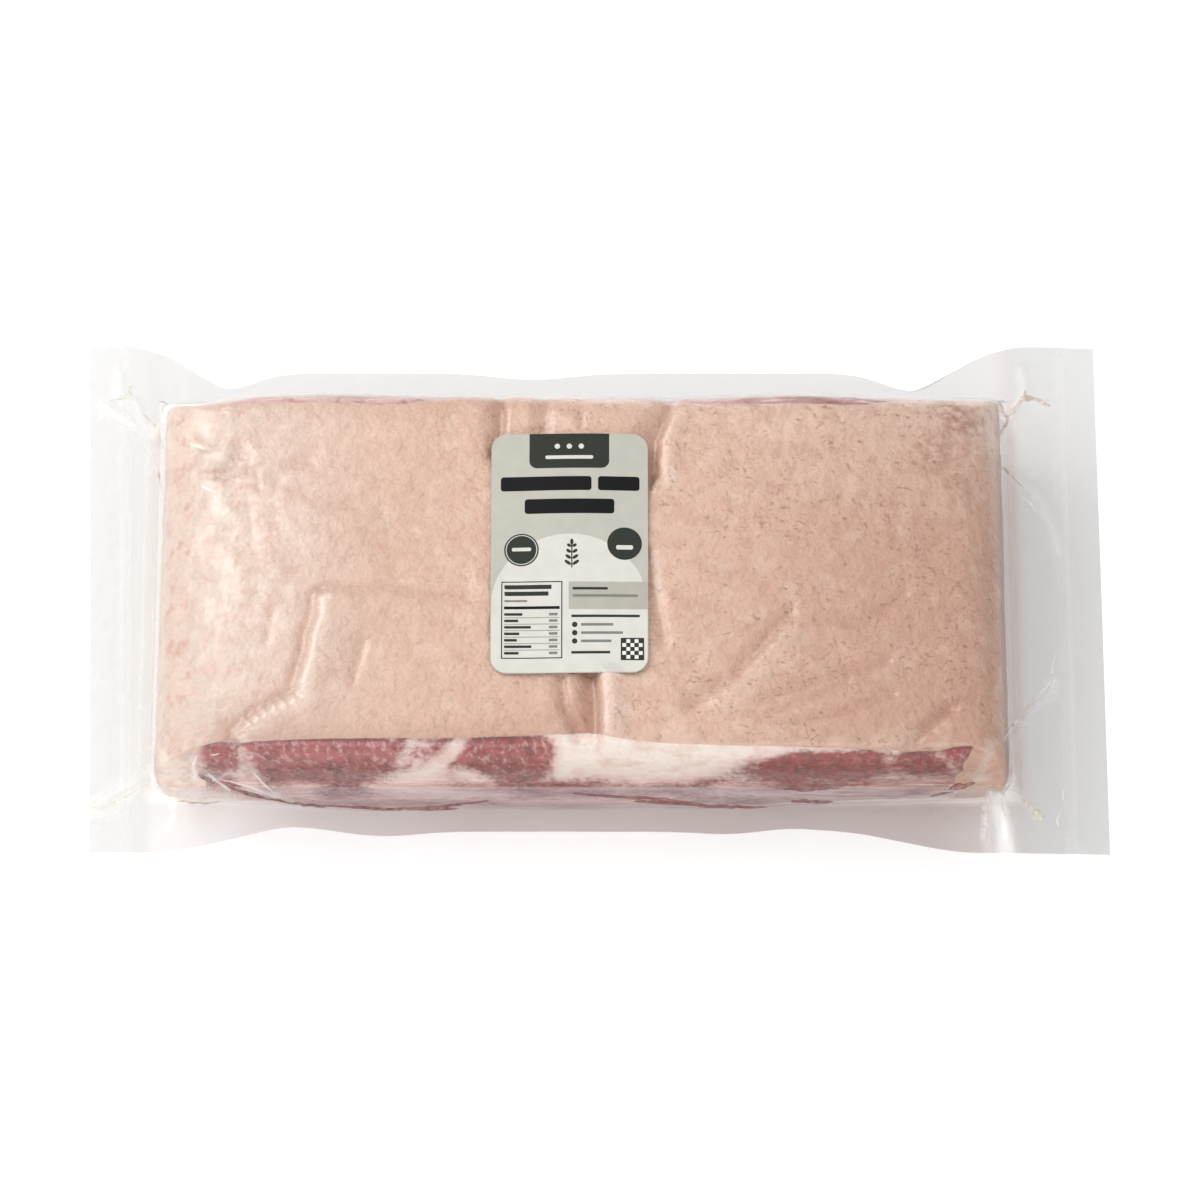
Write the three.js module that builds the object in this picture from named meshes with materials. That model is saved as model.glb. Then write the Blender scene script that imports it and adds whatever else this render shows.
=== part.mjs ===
// A slab of pork back fat with its rind, shut in a clear vacuum pouch, with a label stuck on top.
// Millimetres, +Z up. The slab's length runs along X and the pouch's two sealed ends are at -X and +X.
// The pouch is one closed solid: its film lies tight on the slab, so the slab and its film share one outer form.
// The two films meet at mid height and stand out all round as a flat flange, wide at the ends and narrow beside
// the slab. The origin is on the surface it rests on, under the middle of the flange's outline.

import * as THREE from "three";

// ---------------------------------------------------------------- driving dimensions

const SLAB = {
  left: -145.5,
  right: 139.5,
  front: -69,
  back: 70,
  cornerRadius: 6, // in plan
  midHeight: 27, // where the two films meet
  topHeight: 52.4, // of the rind near its edges
};

// How each side rolls from mid height to the top and to the base: reach is how far it comes in, and
// squareness 2 is an ellipse, higher is boxier. The rind wraps the two ends, so those roll more slowly.
const ROLL_UP = {
  front: { reach: 9, squareness: 3.3 },
  back: { reach: 14, squareness: 2.3 },
  left: { reach: 30, squareness: 2.2 },
  right: { reach: 21, squareness: 2.5 },
};
const ROLL_DOWN = {
  front: { reach: 8, squareness: 2.6 },
  back: { reach: 10, squareness: 2.4 },
  left: { reach: 17, squareness: 2.2 },
  right: { reach: 15, squareness: 2.2 },
};

// Where the front's lower side stands fuller than its roll says, and where it is tucked in, below 0.
const FRONT_BELLIES = [
  { x: -68, width: 34, depth: 3.4 },
  { x: 42, width: 24, depth: 3.0 },
  { x: -146, width: 34, depth: -10 },
  { x: 140, width: 34, depth: -10 },
];

const FLANGE = {
  leftBack: -171, // the left end is cut a little out of square
  leftFront: -165.2,
  right: 171,
  halfWidth: 93.6, // at the ends
  thickness: 0.6,
  filletHeight: 2.6, // the film leaves the slab's side in a small curve
  filletReach: 2.4,
  endDroop: 1.6, // the free ends hang a little
  wave: { height: 0.5, lengthX: 132, lengthY: 207, phaseX: 0.6, phaseY: 1.1 },
  pleatsEnd: 0.8, // share of the way to the outline where the pleats start to flatten out
};

// The flange's long edges: pulled in beside the slab by the vacuum. inset is how far, waist is the dip
// just inside each end of the slab, and shoulder is where the edge turns in, with its half length.
const LONG_EDGES = {
  back: {
    inset: 10.4,
    shoulders: { left: -140, right: 129, halfLength: 21 },
    waists: [
      { x: -124, depth: 6.2, width: 13 },
      { x: 109, depth: 6.6, width: 14 },
      { x: -20, depth: 2.4, width: 17 },
    ],
  },
  front: {
    inset: 7.6,
    shoulders: { left: -123, right: 103, halfLength: 25 },
    waists: [
      { x: -98, depth: 1.6, width: 14 },
      { x: -68, depth: -1.6, width: 15 },
      { x: 44, depth: -0.9, width: 12 },
      { x: 66, depth: 1.0, width: 12 },
    ],
  },
};

// Creases in the rind: each runs from one point to another on the top.
const CREASES = [
  { from: [-30, 64], to: [-30.5, 46], width: 2.6, depth: 1.7 },
  { from: [-15, 64], to: [-15.5, 47], width: 2.4, depth: 0.9 },
  { from: [-3.5, 64], to: [-3.5, 49], width: 2.4, depth: 0.9 },
  { from: [26.5, 62], to: [21.5, 34], width: 3.2, depth: 2.2 },
  { from: [20, -8], to: [24, -28], width: 3.4, depth: 1.0 },
  { from: [-8, -42], to: [-4, -58], width: 2.6, depth: 1.2 },
  { from: [1.5, -40], to: [2, -68], width: 3.2, depth: 2.4 },
  { from: [36, -50], to: [60, -26], width: 4.2, depth: 1.5 },
  { from: [56, -49.5], to: [97, -36], width: 4.0, depth: 1.0 },
  { from: [64, -58], to: [99, -47.5], width: 3.6, depth: 0.8 },
  { from: [103.5, -66], to: [118.5, -51.5], width: 3.2, depth: 1.4 },
  { from: [-75.5, -30], to: [-78.5, -42], width: 2.8, depth: 1.0 },
  { from: [-105.5, -19.5], to: [-107, -29], width: 3.2, depth: 1.0 },
];

// Steps, where one part of the rind stands higher than the part beside it: the side to the left of the way
// the line runs is the raised one. It falls away again over the fade.
const STEPS = [
  { from: [-47, -14], to: [-91, -12], width: 2.6, height: 0.7 },
  { from: [-91, -12], to: [-97, -49], width: 2.6, height: 1.7 },
  { from: [-97, -49], to: [-117, -62], width: 2.6, height: 1.5 },
];
const STEP_FADE = 10;

// Slow rises and dips of the top: the two halves are pillows, with a pinched belt between them.
const MOUNDS = [
  { x: -88, y: 4, rx: 46, ry: 44, height: 2.4 },
  { x: 78, y: 2, rx: 44, ry: 42, height: 2.2 },
  { x: -4, y: 0, rx: 24, ry: 60, height: 1.5 },
  { x: -36, y: -11, rx: 5, ry: 14, height: 0.9 },
];
const LUMPS = [
  { along: [0.052, 0.021], phase: 0.7, height: 0.3 },
  { along: [-0.031, 0.083], phase: 2.1, height: 0.25 },
  { along: [0.093, -0.064], phase: 4.0, height: 0.2 },
];

// Pleats: little tunnels where the film gathers at the slab's corners and runs out across the flange.
const PLEATS = [
  { from: [-141, 62], to: [-153, 70], width: 3.0, height: 1.3 },
  { from: [-153, 70], to: [-163, 80], width: 2.6, height: 0.7 },
  { from: [-143, 54], to: [-161, 62], width: 3.0, height: 0.9 },
  { from: [-143, -57], to: [-165, -69], width: 3.0, height: 1.2 },
  { from: [-137, -63], to: [-141, -78], width: 2.8, height: 0.9 },
  { from: [136, 60], to: [147, 70], width: 3.0, height: 1.4 },
  { from: [147, 70], to: [157, 68], width: 2.6, height: 0.7 },
  { from: [138, 42], to: [157, 22], width: 3.0, height: 0.9 },
  { from: [139, -50], to: [156, -28], width: 3.0, height: 1.0 },
  { from: [136, -60], to: [150, -73], width: 3.0, height: 1.2 },
  { from: [132, -66], to: [136, -90], width: 3.4, height: 1.0 },
];

const LABEL = { left: -33.4, right: 18.8, front: -40.4, back: 47.2, cornerRadius: 5.4, thickness: 0.3, gap: 0.3 };

// Mesh fineness: cells along the length and the width, and where the rings round the slab lie.
const CELLS = { length: 56, width: 26 };
const ROLL_ANGLES = [15, 32, 50, 66, 79, 90]; // degrees round each side's roll, from mid height to its end
const FLANGE_STATIONS = [1, 0.62, 0.34, 0.16, 0.07]; // share of the way from the slab out to the flange's edge
const LABEL_CELLS = { length: 10, width: 16 };

// ---------------------------------------------------------------- small helpers

const mix = (a, b, t) => a + (b - a) * t;
const clamp01 = (t) => Math.min(1, Math.max(0, t));
const smooth = (t) => clamp01(t) ** 2 * (3 - 2 * clamp01(t));
const bell = (t) => Math.exp(-t * t);

// How far a point is off the line from one point to another, and how far to the left of the endless line.
function besideLine(x, y, line) {
  const [x0, y0] = line.from;
  const dx = line.to[0] - x0;
  const dy = line.to[1] - y0;
  const length = Math.hypot(dx, dy);
  const near = clamp01(((x - x0) * dx + (y - y0) * dy) / length ** 2);
  return {
    off: Math.hypot(x - x0 - near * dx, y - y0 - near * dy),
    side: (dx * (y - y0) - dy * (x - x0)) / length,
  };
}

// ---------------------------------------------------------------- the slab's top

function creaseDepth(x, y) {
  return CREASES.reduce((sum, c) => sum + c.depth * bell(besideLine(x, y, c).off / c.width), 0);
}

// A step rises sharply at its line, and falls away slowly over the raised side.
function stepHeight(x, y) {
  return STEPS.reduce((sum, s) => {
    const { off, side } = besideLine(x, y, s);
    const raised = smooth(side / s.width + 0.5);
    return sum + s.height * raised * bell(off / STEP_FADE);
  }, 0);
}

function mounds(x, y) {
  const slow = MOUNDS.reduce((sum, m) => sum + m.height * bell(Math.hypot((x - m.x) / m.rx, (y - m.y) / m.ry)), 0);
  return LUMPS.reduce((sum, l) => sum + l.height * Math.sin(l.along[0] * x + l.along[1] * y + l.phase), slow);
}

const labelBed = (x, y) => SLAB.topHeight + mounds(x, y);
const topHeight = (x, y) => labelBed(x, y) - creaseDepth(x, y) + stepHeight(x, y);

// ---------------------------------------------------------------- rings round the slab

const RING_SIZE = 2 * (CELLS.length + CELLS.width);

// Ring point k on the edge of the square from -1 to 1, anticlockwise from its front left corner.
// Points stand closer together near the corners.
function onSquare(k) {
  const sides = [CELLS.length, CELLS.width, CELLS.length, CELLS.width];
  const ease = (t) => mix(t, Math.sin((t * Math.PI) / 2), 0.45);
  let left = k % RING_SIZE;
  let side = 0;
  while (left >= sides[side]) left -= sides[side++];
  const t = ease((2 * left) / sides[side] - 1);
  return [
    [t, -1],
    [1, t],
    [-t, 1],
    [-1, -t],
  ][side];
}

// The same point on a rectangle with rounded corners, and how much it belongs to each of the four sides.
function onRing(k, box) {
  const [sx, sy] = onSquare(k);
  const centre = [(box.left + box.right) / 2, (box.front + box.back) / 2];
  const half = [(box.right - box.left) / 2, (box.back - box.front) / 2];
  const over = [Math.abs(sx) * half[0] - (half[0] - box.radius), Math.abs(sy) * half[1] - (half[1] - box.radius)];
  let x = sx * half[0];
  let y = sy * half[1];
  let normal = Math.abs(sx) === 1 ? [sx, 0] : [0, sy];
  if (over[0] > 0 && over[1] > 0) {
    const reach = Math.hypot(...over);
    normal = [(Math.sign(sx) * over[0]) / reach, (Math.sign(sy) * over[1]) / reach];
    x = Math.sign(sx) * (half[0] - box.radius) + normal[0] * box.radius;
    y = Math.sign(sy) * (half[1] - box.radius) + normal[1] * box.radius;
  }
  return {
    x: centre[0] + x,
    y: centre[1] + y,
    share: {
      left: normal[0] < 0 ? normal[0] ** 2 : 0,
      right: normal[0] > 0 ? normal[0] ** 2 : 0,
      front: normal[1] < 0 ? normal[1] ** 2 : 0,
      back: normal[1] > 0 ? normal[1] ** 2 : 0,
    },
  };
}

const frontBelly = (x) => FRONT_BELLIES.reduce((sum, b) => sum + b.depth * bell((x - b.x) / b.width), 0);

// A ring at one angle of the roll: 0 degrees is mid height and 90 is the end of the roll. bellyAt is how much
// fuller the front's roll ends at x.
function rollRing(rolls, degrees, heightAt, bellyAt = () => 0) {
  const angle = (degrees * Math.PI) / 180;
  const inset = {};
  const rise = {};
  for (const [side, { reach, squareness }] of Object.entries(rolls)) {
    inset[side] = degrees === 90 ? reach : reach * (1 - Math.cos(angle) ** (2 / squareness));
    rise[side] = Math.sin(angle) ** (2 / squareness);
  }
  const box = {
    left: SLAB.left + inset.left,
    right: SLAB.right - inset.right,
    front: SLAB.front + inset.front,
    back: SLAB.back - inset.back,
    radius: SLAB.cornerRadius,
  };
  return Array.from({ length: RING_SIZE }, (_, k) => {
    const { x, y: even, share } = onRing(k, box);
    const y = even - share.front * bellyAt(x) * (inset.front / rolls.front.reach);
    const risen = Object.keys(share).reduce((sum, side) => sum + share[side] * rise[side], 0);
    return new THREE.Vector3(x, y, mix(SLAB.midHeight, heightAt(x, y), risen));
  });
}

// ---------------------------------------------------------------- the flange

// The outline's long edge at x: full width at the ends, pulled in beside the slab.
function longEdge(x, edge) {
  const { left, right, halfLength } = edge.shoulders;
  const beside = smooth((x - left) / (2 * halfLength) + 0.5) * smooth((right - x) / (2 * halfLength) + 0.5);
  const waist = edge.waists.reduce((sum, w) => sum + w.depth * bell((x - w.x) / w.width), 0);
  return FLANGE.halfWidth - edge.inset * beside - waist;
}

function outlinePoint(k) {
  const [sx, sy] = onSquare(k);
  const leftEnd = mix(FLANGE.leftFront, FLANGE.leftBack, (sy + 1) / 2);
  const x = mix(leftEnd, FLANGE.right, (sx + 1) / 2);
  if (Math.abs(sy) < 1) return { x, y: sy * FLANGE.halfWidth };
  return { x, y: sy > 0 ? longEdge(x, LONG_EDGES.back) : -longEdge(x, LONG_EDGES.front) };
}

// Height of the plane between the two films: nearly flat, with a slight wave, and hanging at the free ends.
function flangeHeight(x, y) {
  const pastSlab = Math.max(0, x - SLAB.right, SLAB.left - x) / (FLANGE.right - SLAB.right);
  const { height, lengthX, lengthY, phaseX, phaseY } = FLANGE.wave;
  const turn = 2 * Math.PI;
  const wave = height * Math.sin((turn * x) / lengthX + phaseX) * Math.sin((turn * y) / lengthY + phaseY);
  return SLAB.midHeight - FLANGE.endDroop * pastSlab ** 2 + wave * clamp01(pastSlab * 3);
}

function pleatHeight(x, y) {
  return PLEATS.reduce((sum, p) => sum + p.height * bell(besideLine(x, y, p).off / p.width), 0);
}

// A ring of the flange, at a share of the way from the slab (0) to the outline (1). up is 1 for the upper
// film and -1 for the lower.
function flangeRing(share, up) {
  const root = { left: SLAB.left, right: SLAB.right, front: SLAB.front, back: SLAB.back, radius: SLAB.cornerRadius };
  return Array.from({ length: RING_SIZE }, (_, k) => {
    const inner = onRing(k, root);
    const outer = outlinePoint(k);
    const x = mix(inner.x, outer.x, share);
    const y = mix(inner.y, outer.y, share);
    const fromSlab = Math.hypot(x - inner.x, y - inner.y);
    const fillet = FLANGE.filletHeight * Math.exp(-fromSlab / FLANGE.filletReach);
    const pleat = pleatHeight(x, y) * (1 - smooth((share - FLANGE.pleatsEnd) / (1 - FLANGE.pleatsEnd)));
    return new THREE.Vector3(x, y, flangeHeight(x, y) + up * (FLANGE.thickness / 2 + fillet + pleat));
  });
}

// ---------------------------------------------------------------- joining points into closed meshes

// Collects points and triangles. Every triangle is wound so that its face looks outwards.
class Shell {
  constructor() {
    this.positions = [];
    this.triangles = [];
  }

  addRow(points) {
    return points.map((p) => this.positions.push(p.x, p.y, p.z) / 3 - 1);
  }

  quad(a, b, c, d) {
    this.triangles.push(a, b, c, a, c, d);
  }

  // A closed band between two rings of the same size, the first outside or below the second.
  band(outer, inner) {
    outer.forEach((a, k) => {
      const next = (k + 1) % outer.length;
      this.quad(a, outer[next], inner[next], inner[k]);
    });
  }

  geometry() {
    const made = new THREE.BufferGeometry();
    made.setAttribute("position", new THREE.Float32BufferAttribute(this.positions, 3));
    made.setIndex(this.triangles);
    made.computeVertexNormals();
    return made;
  }
}

// Fills a ring with a grid whose border is the ring. Inside it, heights come from heightAt.
function fillWithGrid(shell, ringIndices, ring, heightAt) {
  const { length: nx, width: ny } = CELLS;
  const ringAt = (i, j) => {
    if (j === 0) return i;
    if (i === nx) return nx + j;
    if (j === ny) return nx + ny + (nx - i);
    return 2 * nx + ny + (ny - j);
  };
  const blend = (axis, i, j) => {
    const at = (a, b) => ring[ringAt(a, b) % RING_SIZE][axis];
    const u = i / nx;
    const v = j / ny;
    const edges = mix(at(i, 0), at(i, ny), v) + mix(at(0, j), at(nx, j), u);
    return edges - mix(mix(at(0, 0), at(nx, 0), u), mix(at(0, ny), at(nx, ny), u), v);
  };
  const index = [];
  for (let j = 0; j <= ny; j++) {
    index.push([]);
    for (let i = 0; i <= nx; i++) {
      if (i === 0 || j === 0 || i === nx || j === ny) {
        index[j].push(ringIndices[ringAt(i, j) % RING_SIZE]);
        continue;
      }
      const x = blend("x", i, j);
      const y = blend("y", i, j);
      index[j].push(shell.addRow([new THREE.Vector3(x, y, heightAt(x, y))])[0]);
    }
  }
  for (let j = 0; j < ny; j++) {
    for (let i = 0; i < nx; i++) {
      shell.quad(index[j][i], index[j][i + 1], index[j + 1][i + 1], index[j + 1][i]);
    }
  }
}

// ---------------------------------------------------------------- the pouch with its slab

function sealedPouch() {
  const shell = new Shell();
  const upper = [
    ...FLANGE_STATIONS.map((share) => flangeRing(share, 1)),
    ...ROLL_ANGLES.map((angle) => rollRing(ROLL_UP, angle, topHeight)),
  ];
  const lower = [
    ...FLANGE_STATIONS.map((share) => flangeRing(share, -1)),
    ...ROLL_ANGLES.map((angle) => rollRing(ROLL_DOWN, angle, () => 0, frontBelly)),
  ];
  const upperRows = upper.map((ring) => shell.addRow(ring));
  const lowerRows = lower.map((ring) => shell.addRow(ring));
  for (let r = 1; r < upperRows.length; r++) {
    shell.band(upperRows[r - 1], upperRows[r]);
    shell.band(lowerRows[r], lowerRows[r - 1]);
  }
  shell.band(lowerRows[0], upperRows[0]);
  fillWithGrid(shell, upperRows.at(-1), upper.at(-1), topHeight);

  const base = lower.at(-1).map((p) => new THREE.Vector2(p.x, p.y));
  for (const [a, b, c] of THREE.ShapeUtils.triangulateShape(base, [])) {
    shell.triangles.push(...[c, b, a].map((i) => lowerRows.at(-1)[i]));
  }
  return shell.geometry();
}

// ---------------------------------------------------------------- the label

// The label is a thin sheet with rounded corners that lies along the slow rises of the top and bridges
// the creases.
function stuckLabel() {
  const shell = new Shell();
  const { left, right, front, back, cornerRadius, thickness, gap } = LABEL;
  const { length: nx, width: ny } = LABEL_CELLS;
  const centre = [(left + right) / 2, (front + back) / 2];
  const half = [(right - left) / 2, (back - front) / 2];
  const sheet = (lift) => {
    const rows = [];
    for (let j = 0; j <= ny; j++) {
      const sy = (2 * j) / ny - 1;
      const intoCorner = Math.max(0, Math.abs(sy) * half[1] - (half[1] - cornerRadius));
      const width = half[0] - cornerRadius + Math.sqrt(cornerRadius ** 2 - intoCorner ** 2);
      rows.push(
        shell.addRow(
          Array.from({ length: nx + 1 }, (_, i) => {
            const x = centre[0] + ((2 * i) / nx - 1) * width;
            const y = centre[1] + sy * half[1];
            return new THREE.Vector3(x, y, labelBed(x, y) + lift);
          }),
        ),
      );
    }
    return rows;
  };
  const under = sheet(gap);
  const over = sheet(gap + thickness);
  for (let j = 0; j < ny; j++) {
    for (let i = 0; i < nx; i++) {
      shell.quad(over[j][i], over[j][i + 1], over[j + 1][i + 1], over[j + 1][i]);
      shell.quad(under[j][i], under[j + 1][i], under[j + 1][i + 1], under[j][i + 1]);
    }
  }
  const rim = (rows) => [
    ...rows[0].slice(0, nx),
    ...rows.slice(0, ny).map((row) => row[nx]),
    ...rows[ny].slice(1).reverse(),
    ...rows
      .slice(1)
      .map((row) => row[0])
      .reverse(),
  ];
  shell.band(rim(under), rim(over));
  return shell.geometry();
}

// ---------------------------------------------------------------- the part

function mesh(name, geometry, material) {
  const made = new THREE.Mesh(geometry, material);
  made.name = name;
  return made;
}

const rindInFilm = new THREE.MeshStandardMaterial({ color: 0xdcb8a4, roughness: 0.35, metalness: 0 });
const labelPaper = new THREE.MeshStandardMaterial({ color: 0xc9ccc2, roughness: 0.6, metalness: 0 });

const pack = new THREE.Group();
pack.add(mesh("sealed_pouch", sealedPouch(), rindInFilm));
pack.add(mesh("label", stuckLabel(), labelPaper));

export default pack;
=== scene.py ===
"""A slab of pork fat with its rind, sealed in a clear vacuum pouch with a paper label on top.

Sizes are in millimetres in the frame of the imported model: X runs along the slab, Y towards its back and
Z up through the rind. They become metres when a mesh is made.
"""

import logging
import math
from collections.abc import Callable, Sequence
from dataclasses import dataclass, field
from enum import Enum
from typing import ClassVar

import bpy
import numpy as np
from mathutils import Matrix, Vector
from mathutils.bvhtree import BVHTree


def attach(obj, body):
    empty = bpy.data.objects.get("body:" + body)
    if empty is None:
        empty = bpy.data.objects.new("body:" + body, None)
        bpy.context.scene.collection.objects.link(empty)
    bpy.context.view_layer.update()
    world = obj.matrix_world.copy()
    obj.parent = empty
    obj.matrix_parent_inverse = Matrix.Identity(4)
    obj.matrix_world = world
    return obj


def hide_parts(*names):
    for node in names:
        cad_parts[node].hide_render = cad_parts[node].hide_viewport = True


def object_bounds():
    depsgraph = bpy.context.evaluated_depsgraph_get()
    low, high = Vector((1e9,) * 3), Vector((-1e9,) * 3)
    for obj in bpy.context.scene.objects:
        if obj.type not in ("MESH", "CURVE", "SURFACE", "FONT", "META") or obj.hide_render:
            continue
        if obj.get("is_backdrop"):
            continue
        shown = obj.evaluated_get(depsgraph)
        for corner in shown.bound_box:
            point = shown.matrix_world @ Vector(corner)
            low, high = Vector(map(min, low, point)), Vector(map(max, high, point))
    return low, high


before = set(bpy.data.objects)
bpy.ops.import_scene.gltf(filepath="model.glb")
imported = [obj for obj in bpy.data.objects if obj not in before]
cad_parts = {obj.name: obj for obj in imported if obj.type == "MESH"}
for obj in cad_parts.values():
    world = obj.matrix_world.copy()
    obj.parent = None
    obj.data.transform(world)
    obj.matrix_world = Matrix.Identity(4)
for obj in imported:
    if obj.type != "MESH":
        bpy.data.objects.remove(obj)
CAD_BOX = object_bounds()

MM = 0.001
BODY = "root"
LOG = logging.getLogger("pork_pack")

Array = np.ndarray
Point = tuple[float, float]
Triple = tuple[float, float, float]
Quad = tuple[float, float, float, float]
Colour = Quad
Heights = Callable[[Array, Array], Array]
Socket = bpy.types.NodeSocket
Value = Socket | float | Sequence[float]


# ---------------------------------------------------------------- small shapes of numbers


def smooth(t: Array) -> Array:
    """Rises softly from 0 to 1 as t goes from 0 to 1."""
    t = np.clip(t, 0.0, 1.0)
    return t * t * (3.0 - 2.0 * t)


def bell(t: Array) -> Array:
    """A bump of height 1 at t = 0."""
    return np.exp(-t * t)


def mix(a: Array, b: Array, t: Array) -> Array:
    """Goes from a to b as t goes from 0 to 1."""
    return a + (b - a) * t


def read_line(x: Array, points: tuple[Point, ...]) -> Array:
    """Reads the height at x off a line through these points."""
    return np.interp(x, *zip(*points, strict=True))


@dataclass(frozen=True)
class Ramp:
    """A soft rise from 0 to top as a value goes from start to end. It falls where end is the smaller."""

    start: float
    end: float
    top: float = 1.0

    def at(self, value: Array) -> Array:
        """Where these values stand on the ramp."""
        return self.top * smooth((value - self.start) / (self.end - self.start))


def paint(red: float, green: float, blue: float) -> Colour:
    """Turns a colour as a screen shows it, 0 to 255, into linear light.

    Args:
        red: Its red.
        green: Its green.
        blue: Its blue.

    Returns:
        The colour.
    """

    def linear(shown: float) -> float:
        """One channel in linear light."""
        share = shown / 255.0
        return share / 12.92 if share <= 0.04045 else ((share + 0.055) / 1.055) ** 2.4

    return (linear(red), linear(green), linear(blue), 1.0)


@dataclass(frozen=True)
class Stroke:
    """A line drawn on the pack from above, with the width and height of what it raises or sinks.

    steep is the width of its left side, along the way it runs, where that side is steeper.
    """

    points: tuple[Point, ...]
    width: float
    height: float
    steep: float | None = None

    def beside(self, x: Array, y: Array) -> tuple[Array, Array, Array]:
        """Finds where points lie beside the line.

        Args:
            x: The points' X.
            y: The points' Y.

        Returns:
            The distance from the line, the same with a minus sign to its right, and how far along it
            the nearest place is.
        """
        best = np.full(np.shape(x), np.inf)
        signed = np.zeros(np.shape(x))
        along = np.zeros(np.shape(x))
        passed = 0.0
        for (x0, y0), (x1, y1) in zip(self.points[:-1], self.points[1:], strict=True):
            dx, dy = x1 - x0, y1 - y0
            length = math.hypot(dx, dy)
            share = np.clip(((x - x0) * dx + (y - y0) * dy) / length**2, 0.0, 1.0)
            off = np.hypot(x - x0 - share * dx, y - y0 - share * dy)
            left = dx * (y - y0) - dy * (x - x0) > 0.0
            nearer = off < best
            signed = np.where(nearer, np.where(left, off, -off), signed)
            along = np.where(nearer, passed + share * length, along)
            best = np.where(nearer, off, best)
            passed += length
        return best, signed, along

    def relief(self, x: Array, y: Array) -> Array:
        """Height of the rounded ridge that the stroke makes at these points.

        Args:
            x: The points' X.
            y: The points' Y.

        Returns:
            The heights.
        """
        off, signed, _ = self.beside(x, y)
        width = np.where(signed > 0.0, self.steep or self.width, self.width)
        return self.height * bell(off / width)


@dataclass(frozen=True)
class Lumps:
    """Smooth seeded unevenness, from -1 to 1, whose bumps are about one cell across."""

    cell: float
    seed: int
    period: int = 64

    def at(self, x: Array, y: Array, z: Array | float = 0.0) -> Array:
        """Reads the unevenness at these points.

        Args:
            x: The points' X.
            y: The points' Y.
            z: The points' Z.

        Returns:
            The unevenness at each point.
        """
        table = np.random.default_rng(self.seed).uniform(-1.0, 1.0, (self.period,) * 3)
        place = [np.broadcast_to(axis, np.shape(x)) / self.cell + 1000.0 for axis in (x, y, z)]
        low = [np.floor(axis).astype(int) for axis in place]
        share = [smooth(axis - base) for axis, base in zip(place, low, strict=True)]
        total = np.zeros(np.shape(x))
        for corner in np.ndindex(2, 2, 2):
            weight = np.ones(np.shape(x))
            for part, side in zip(share, corner, strict=True):
                weight = weight * (part if side else 1.0 - part)
            index = tuple((base + side) % self.period for base, side in zip(low, corner, strict=True))
            total += weight * table[index]
        return total


# ---------------------------------------------------------------- meshes


@dataclass
class Skin:
    """Collects points and faces, and makes one mesh object of them."""

    points: list[Array] = field(default_factory=list)
    faces: list[Array] = field(default_factory=list)
    caps: list[list[int]] = field(default_factory=list)
    count: int = 0

    def row(self, points: Array) -> Array:
        """Adds points, and returns their numbers in the same arrangement.

        Args:
            points: The points' coordinates.

        Returns:
            The points' numbers.
        """
        flat = np.reshape(points, (-1, 3))
        numbers = np.arange(self.count, self.count + len(flat))
        self.points.append(flat)
        self.count += len(flat)
        return numbers.reshape(np.shape(points)[:-1])

    def quads(self, a: Array, b: Array, c: Array, d: Array) -> None:
        """Adds a face for each set of four corners, wound anticlockwise as seen from outside."""
        self.faces.append(np.stack([np.ravel(a), np.ravel(b), np.ravel(c), np.ravel(d)], axis=1))

    def band(self, outer: Array, inner: Array) -> None:
        """Joins two rings of the same size, the first outside or below the second."""
        self.quads(outer, np.roll(outer, -1), np.roll(inner, -1), inner)

    def sheet(self, rows: Array, up: bool = True) -> None:
        """Fills a grid of point numbers with faces that look up, or down."""
        a, b, c, d = rows[:-1, :-1], rows[:-1, 1:], rows[1:, 1:], rows[1:, :-1]
        self.quads(a, b, c, d) if up else self.quads(a, d, c, b)

    def coordinates(self) -> Array:
        """Every point so far, one a line."""
        return np.concatenate(self.points)

    def object(self, name: str, rim: Sequence[Array] = (), flat: bool = False) -> bpy.types.Object:
        """Makes the mesh object.

        Args:
            name: The piece's name.
            rim: Rings of point numbers where the shading breaks.
            flat: Whether its faces are shaded flat instead of smooth.

        Returns:
            The new object, in the scene.
        """
        faces = np.concatenate(self.faces).tolist() + self.caps
        mesh = bpy.data.meshes.new(name)
        mesh.from_pydata((self.coordinates() * MM).tolist(), [], faces)
        mesh.shade_flat() if flat else mesh.shade_smooth()
        if len(rim):
            on_rim = np.zeros(self.count, bool)
            on_rim[np.concatenate(rim)] = True
            ends = np.empty(2 * len(mesh.edges), np.int32)
            mesh.edges.foreach_get("vertices", ends)
            mesh.edges.foreach_set("use_edge_sharp", on_rim[ends].reshape(-1, 2).all(axis=1))
        mesh.update()
        return add_object(name, mesh)


def add_object(name: str, data: bpy.types.ID) -> bpy.types.Object:
    """Puts a new object with this data in the scene.

    Args:
        name: Its name.
        data: Its data.

    Returns:
        The new object.
    """
    made = bpy.data.objects.new(name, data)
    bpy.context.scene.collection.objects.link(made)
    return made


def store(made: bpy.types.Object, **fields: Array) -> None:
    """Keeps numbers for each of a mesh's points, for its material to read.

    Args:
        made: The piece.
        **fields: The numbers, by the name that the material reads.
    """
    for name, values in fields.items():
        attribute = made.data.attributes.new(name, "FLOAT", "POINT")
        attribute.data.foreach_set("value", np.asarray(values, np.float32))


def move_points(made: bpy.types.Object, points: Array) -> None:
    """Moves a mesh's points to these places."""
    made.data.vertices.foreach_set("co", (points * MM).astype(np.float32).ravel())
    made.data.update()


def normals(made: bpy.types.Object) -> Array:
    """The outward direction at each of a mesh's points.

    Args:
        made: The piece.

    Returns:
        A direction for each point.
    """
    flat = np.zeros(len(made.data.vertices) * 3, np.float32)
    made.data.vertex_normals.foreach_get("vector", flat)
    return flat.reshape(-1, 3).astype(float)


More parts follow.
